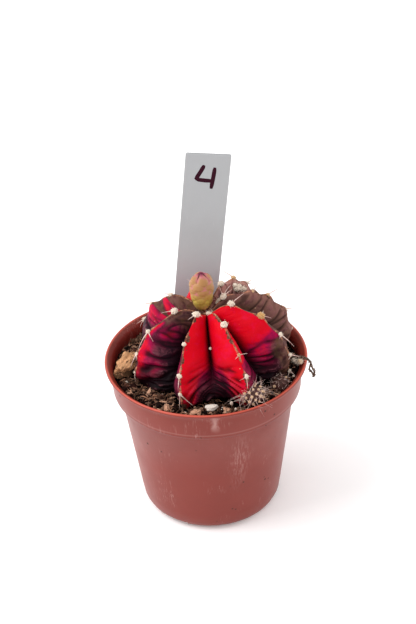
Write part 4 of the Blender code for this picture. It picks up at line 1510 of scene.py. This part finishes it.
def model_crumbs(look, rng):
    """Crumbs of peat in two sizes, lying all over the bed."""
    made = []
    for name, seed, count, sizes in (
        ("mix_crumbs", 1, look.crumbs, (0.18, 0.55)),
        ("mix_lumps", 2, look.crumbs // 5, (0.5, 1.35)),
    ):
        matrices, tones = [], []
        for _ in range(count):
            x, y = mix_spot(rng, -0.6 * MM, 27.0 * MM - sizes[1] * 0.4 * MM)
            size = rng.uniform(*sizes) * rng.uniform(0.6, 1.0) * MM
            spot = Vector((x, y, bed_height(x, y) + size * rng.uniform(-0.1, 0.7)))
            turned = tumbled(rng)
            flat = (size, size * rng.uniform(0.5, 0.95), size * rng.uniform(0.4, 0.8))
            matrices.append(sized(spot, turned, *flat))
            # Painted shade: crumbs in the hollow by the stem's foot are darker
            tones.append(rng.betavariate(0.8, 1.6) * (1.0 - 0.8 * shaded(x, y)))
        made.append(scattered(name, seed_shape(seed), matrices, tones, rng, 0.32))
    return made


def model_fibres(look, rng):
    """Loose fibres and twigs, curling over the crumbs."""
    fine, twigs = [], []
    for index in range(look.fibres + ROOTY_FIBRES):
        rooty = index >= look.fibres
        thick = index % 4 == 0 or rooty
        x, y = mix_spot(rng, 0.2 * MM, 25.6 * MM)
        while rooty and (x > -12.0 * MM or y < -6.0 * MM):
            x, y = mix_spot(rng, 0.2 * MM, 25.6 * MM)
        turn = rng.uniform(0.0, math.tau)
        curl = rng.uniform(0.5, 1.1) * rng.choice((-1.0, 1.0)) if rooty else rng.uniform(-0.5, 0.5)
        length = rng.uniform(1.6, 5.5) * MM
        steps = 7
        radius = (rng.uniform(0.11, 0.22) if thick else rng.uniform(0.06, 0.12)) * MM
        lift = rng.uniform(0.3, 1.3 if rooty else 0.9) * MM
        hump = rng.uniform(0.0, 1.4 if rooty else 0.9) * MM
        path = []
        for step in range(steps):
            share = step / (steps - 1)
            if math.hypot(x, y) > 26.6 * MM:
                x, y = x * 0.97, y * 0.97
            rise = bed_height(x, y) + lift + hump * math.sin(math.pi * share)
            path.append((Vector((x, y, rise)), radius * (1.0 - 0.5 * share)))
            turn += curl + rng.uniform(-0.35, 0.35)
            x += math.cos(turn) * length / steps
            y += math.sin(turn) * length / steps
        (twigs if thick else fine).append(path)
    return strands("mix_fibres", fine, 0), strands("mix_twigs", twigs, 1)


def model_splinters(rng):
    """Small flat wood chips and splinters among the crumbs."""
    matrices, tones = [], []
    for index in range(SPLINTERS):
        x, y = mix_spot(rng, 0.1 * MM, 26.0 * MM)
        size = rng.uniform(0.35, 0.95) * (1.5 if index % 8 == 0 else 1.0) * MM
        spot = Vector((x, y, bed_height(x, y) + rng.uniform(0.3, 0.8) * MM))
        turned = Matrix.Rotation(rng.uniform(0, 6), 4, "Z")
        turned = turned @ Matrix.Rotation(rng.uniform(-0.7, 0.7), 4, "X")
        flat = (size * rng.uniform(0.3, 0.6), size * rng.uniform(0.9, 2.0), size * 0.24)
        matrices.append(sized(spot, turned, *flat))
        tones.append(rng.random())
    return scattered("mix_splinters", seed_shape(1), matrices, tones, rng, 0.3)


def model_grit(rng):
    """Small white grains scattered on the mix."""
    matrices, tones = [], []
    for index in range(GRAINS):
        x, y = mix_spot(rng, 0.5 * MM, 26.0 * MM)
        size = rng.uniform(0.16, 0.34) * MM * (1.6 if index % 14 == 0 else 1.0)
        spot = Vector((x, y, bed_height(x, y) + 0.6 * MM))
        matrices.append(sized(spot, tumbled(rng), size, size * 0.8, size * 0.7))
        tones.append(rng.random())
    return scattered("mix_grit", seed_shape(2), matrices, tones, rng, 0.14)


def model_piece(
    node, subdivisions, boxy, coarse, fine, grooved, size=1.0, slant=0.0, raised=0.0, taper=0.0
):
    """One larger piece of wood or stone, broken and roughened, in the space its solid holds."""
    low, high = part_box(node)
    centre, half = (low + high) / 2.0 + Vector((0.0, 0.0, raised)), (high - low) / 2.0 * size
    piece = primitive("ico_sphere", f"{node}_piece", subdivisions=subdivisions, radius=1.0)
    made, tones = [], []
    for point in points_of(piece):
        way = Vector(point)
        spot = way + centre / (7.0 * MM)
        reach = (1.0 / max(abs(c) for c in way)) ** boxy * (1.0 - 0.28 * boxy)
        reach *= 1.0 + coarse * noise.noise(spot * 1.6)
        reach += fine * noise.noise(spot * 5.0) + 0.5 * fine * noise.noise(spot * 11.0)
        along = spot.x * 0.8 + spot.y * 0.6
        strand = noise.noise(Vector((spot.x * 0.6 - spot.y * 0.8, along * 0.18, spot.z * 0.9)) * 7.0)
        reach -= grooved * abs(strand)
        made.append([way[k] * reach * half[k] + centre[k] for k in range(3)])
        made[-1][0] += (slant + taper * way.x) * way.y * reach * half.x
        # Painted shade: the tone, which the wood finish reads, is lower on each piece's lower side, more
        # so at its front
        tones.append(0.8 + 0.7 * strand - 0.6 * smooth_step(way.z + 0.3 * way.y, 0.1, -0.5))
    move_points(piece, made)
    store(piece, tone=tones)
    return piece


# ---- operators ----

DRAWS = {"mix": 11, "areoles": 40, "offsets": 70, "withered": 90}  # seeds of the random draws
LAMPS = (  # a large soft box above the left and low ones at both sides: place, size, power
    ("key", (-0.42, -0.10, 0.62), 0.42, 3.2),
    ("left_side", (-0.60, 0.16, 0.16), 0.5, 2.0),
    ("right_side", (0.60, 0.20, 0.16), 0.5, 1.6),
)
LIT_PLACE = Vector((0.0, 0.0, 0.03))
CAMERA_PLACE = (0.0, -0.47284, 0.38609)
CAMERA_TURNS = ((-0.15, "Z"), (90.0 - 34.14, "X"), (-2.7, "Z"))  # heading, dip and roll, degrees


class CACTUS_OT_pot(bpy.types.Operator):
    """Model the nursery pot"""

    bl_idname = "moon_cactus.pot"
    bl_label = "Nursery Pot"

    def execute(self, context):
        adopt(model_pot(), pot_finish(context.scene.cactus_pot), "pot_plastic", "pot", smooth=False)
        return {"FINISHED"}


class CACTUS_OT_stem(bpy.types.Operator):
    """Model the ribbed stem"""

    bl_idname = "moon_cactus.stem"
    bl_label = "Ribbed Stem"

    def execute(self, context):
        look = context.scene.cactus_stem
        adopt(model_stem(look), stem_finish(look), "cactus_skin", "cactus_stem")
        return {"FINISHED"}


class CACTUS_OT_areoles(bpy.types.Operator):
    """Model the woolly areoles and their spines, rib by rib"""

    bl_idname = "moon_cactus.areoles"
    bl_label = "Areoles and Spines"

    def execute(self, context):
        look = context.scene.cactus_spine
        wool, horn = wool_finish(look), spine_finish(look)
        for rib, (_, _, angles) in enumerate(RIBS):
            rng = random.Random(DRAWS["areoles"] + rib)
            nodes = [f"areole_{rib + 1}_{place + 1}" for place in range(len(angles))]
            cushions, fuzz = model_wool(rib, rng)
            adopt(cushions, wool, "areole_wool", *nodes)
            adopt(fuzz, wool, "areole_wool")
            adopt(model_spines(rib, look, rng), horn, "areole_wool")
        return {"FINISHED"}


class CACTUS_OT_bud(bpy.types.Operator):
    """Model the flower bud and its scales"""

    bl_idname = "moon_cactus.bud"
    bl_label = "Flower Bud"

    def execute(self, context):
        look = context.scene.cactus_bud
        adopt(model_bud(look), bud_finish(look), "bud_skin", "flower_bud")
        return {"FINISHED"}


class CACTUS_OT_offsets(bpy.types.Operator):
    """Model the young plants at the foot of the stem"""

    bl_idname = "moon_cactus.offsets"
    bl_label = "Offsets"

    def execute(self, context):
        look = context.scene.cactus_offset
        skin, cream = offset_finish(look), bead_finish(look)
        hair = spine_finish(context.scene.cactus_spine)
        # The share of their knobs that carry a bead
        for index, (node, beaded) in enumerate((("offset_1", 0.95), ("offset_2", 0.12))):
            rng = random.Random(DRAWS["offsets"] + index)
            ball, beads, hairs = model_offset(node, look, rng, beaded)
            adopt(ball, skin, "offset_skin", node)
            adopt(beads, cream, "areole_wool")
            adopt(hairs, hair, "areole_wool")
        return {"FINISHED"}


class CACTUS_OT_withered(bpy.types.Operator):
    """Model the spent flower over the rim, and loose wool and seeds"""

    bl_idname = "moon_cactus.withered"
    bl_label = "Withered Flower"

    def execute(self, context):
        rng = random.Random(DRAWS["withered"])
        dry = dry_flower_finish()
        tube, scraps = model_withered_flower(rng)
        adopt(tube, dry, "dry_flower", "withered_flower")
        adopt(scraps, dry, "dry_flower")
        wool = wool_finish(context.scene.cactus_spine)
        for piece in model_tufts(rng):
            adopt(piece, wool, "areole_wool")
        return {"FINISHED"}


class CACTUS_OT_label(bpy.types.Operator):
    """Model the plant label and the figure on it"""

    bl_idname = "moon_cactus.label"
    bl_label = "Plant Label"

    def execute(self, context):
        look = context.scene.cactus_label
        adopt(model_label(), label_finish(look), "label_plastic", "plant_label", smooth=False)
        adopt(model_figure(look), ink_finish(look), "label_plastic")
        return {"FINISHED"}


class CACTUS_OT_mix(bpy.types.Operator):
    """Model the potting mix with its crumbs, fibres, chips and grit"""

    bl_idname = "moon_cactus.mix"
    bl_label = "Potting Mix"

    def execute(self, context):
        look = context.scene.cactus_mix
        rng = random.Random(DRAWS["mix"])
        peat = peat_finish("potting_mix", look)
        adopt(model_bed(), peat, "potting_mix", "potting_mix")
        for crumbs in model_crumbs(look, rng):
            adopt(crumbs, peat, "potting_mix", smooth=False)
        fibre = wood_finish("mix_fibre", look.fibre, toned=False)
        for fibres in model_fibres(look, rng):
            adopt(fibres, fibre, "wood_chip")
        chip = wood_finish("wood_chip", look.chip)
        adopt(model_splinters(rng), chip, "wood_chip", smooth=False)
        grit = grit_finish(look)
        adopt(model_grit(rng), grit, "perlite")
        for finish, slot, nodes in (
            (chip, "wood_chip", ("wood_chip_1", "wood_chip_2", "wood_chip_3")),
            (grit, "perlite", ("perlite_1", "perlite_2")),
            (wood_finish("bark", look.bark), "wood_chip", ("bark_chip",)),
        ):
            for node in nodes:
                adopt(model_piece(node, *PIECES[node]), finish, slot, node)
        return {"FINISHED"}


class CACTUS_OT_stage(bpy.types.Operator):
    """Add the floor, the soft lights, the surroundings and the camera"""

    bl_idname = "moon_cactus.stage"
    bl_label = "Stage"

    def execute(self, context):
        look = context.scene.cactus_stage
        floor = settle(primitive("plane", "floor", size=6.0, location=(0.0, 0.0, 0.0)))
        floor.data.materials.append(floor_finish(look))
        world = bpy.data.worlds.new("studio")
        world.use_nodes = True
        sky = world.node_tree.nodes["Background"]
        sky.inputs["Color"].default_value = (1.0, 1.0, 1.0, 1.0)
        sky.inputs["Strength"].default_value = look.world
        context.scene.world = world
        for name, spot, size, power in LAMPS:
            deselect()
            bpy.ops.object.light_add(type="AREA", location=spot)
            lamp = bpy.context.object
            lamp.name = name
            lamp.data.size = size
            lamp.data.energy = look.key * power
            lamp.rotation_euler = (LIT_PLACE - Vector(spot)).to_track_quat("-Z", "Y").to_euler()
        deselect()
        bpy.ops.object.camera_add(location=CAMERA_PLACE)
        camera = bpy.context.object
        camera.name = "camera"
        camera.data.lens = look.lens
        camera.data.sensor_width = 36.0
        camera.data.clip_start = 0.01
        turned = Matrix()
        for degrees, axis in CAMERA_TURNS:
            turned = turned @ Matrix.Rotation(math.radians(degrees), 4, axis)
        camera.rotation_euler = turned.to_euler()
        context.scene.camera = camera
        context.scene.view_settings.view_transform = "Standard"
        return {"FINISHED"}


OPERATORS = (
    CACTUS_OT_stage,
    CACTUS_OT_pot,
    CACTUS_OT_mix,
    CACTUS_OT_stem,
    CACTUS_OT_areoles,
    CACTUS_OT_bud,
    CACTUS_OT_offsets,
    CACTUS_OT_withered,
    CACTUS_OT_label,
)


class CACTUS_PT_panel(bpy.types.Panel):
    """Lists the pieces of the potted cactus"""

    bl_label = "Potted Moon Cactus"
    bl_idname = "CACTUS_PT_panel"
    bl_space_type = "VIEW_3D"
    bl_region_type = "UI"
    bl_category = "Moon Cactus"

    def draw(self, context):
        for operator in OPERATORS:
            self.layout.operator(operator.bl_idname)
        for name, group in SETTINGS.items():
            box = self.layout.box()
            for key in group.__annotations__:
                box.prop(getattr(context.scene, name), key)


def register():
    for name, group in SETTINGS.items():
        bpy.utils.register_class(group)
        setattr(bpy.types.Scene, name, PointerProperty(type=group))
    for operator in (*OPERATORS, CACTUS_PT_panel):
        bpy.utils.register_class(operator)


def unregister():
    for operator in (CACTUS_PT_panel, *reversed(OPERATORS)):
        bpy.utils.unregister_class(operator)
    for name, group in SETTINGS.items():
        delattr(bpy.types.Scene, name)
        bpy.utils.unregister_class(group)


def main():
    register()
    bpy.ops.moon_cactus.stage()
    bpy.ops.moon_cactus.pot()
    bpy.ops.moon_cactus.mix()
    bpy.ops.moon_cactus.stem()
    bpy.ops.moon_cactus.areoles()
    bpy.ops.moon_cactus.bud()
    bpy.ops.moon_cactus.offsets()
    bpy.ops.moon_cactus.withered()
    bpy.ops.moon_cactus.label()


if __name__ == "__main__":
    main()
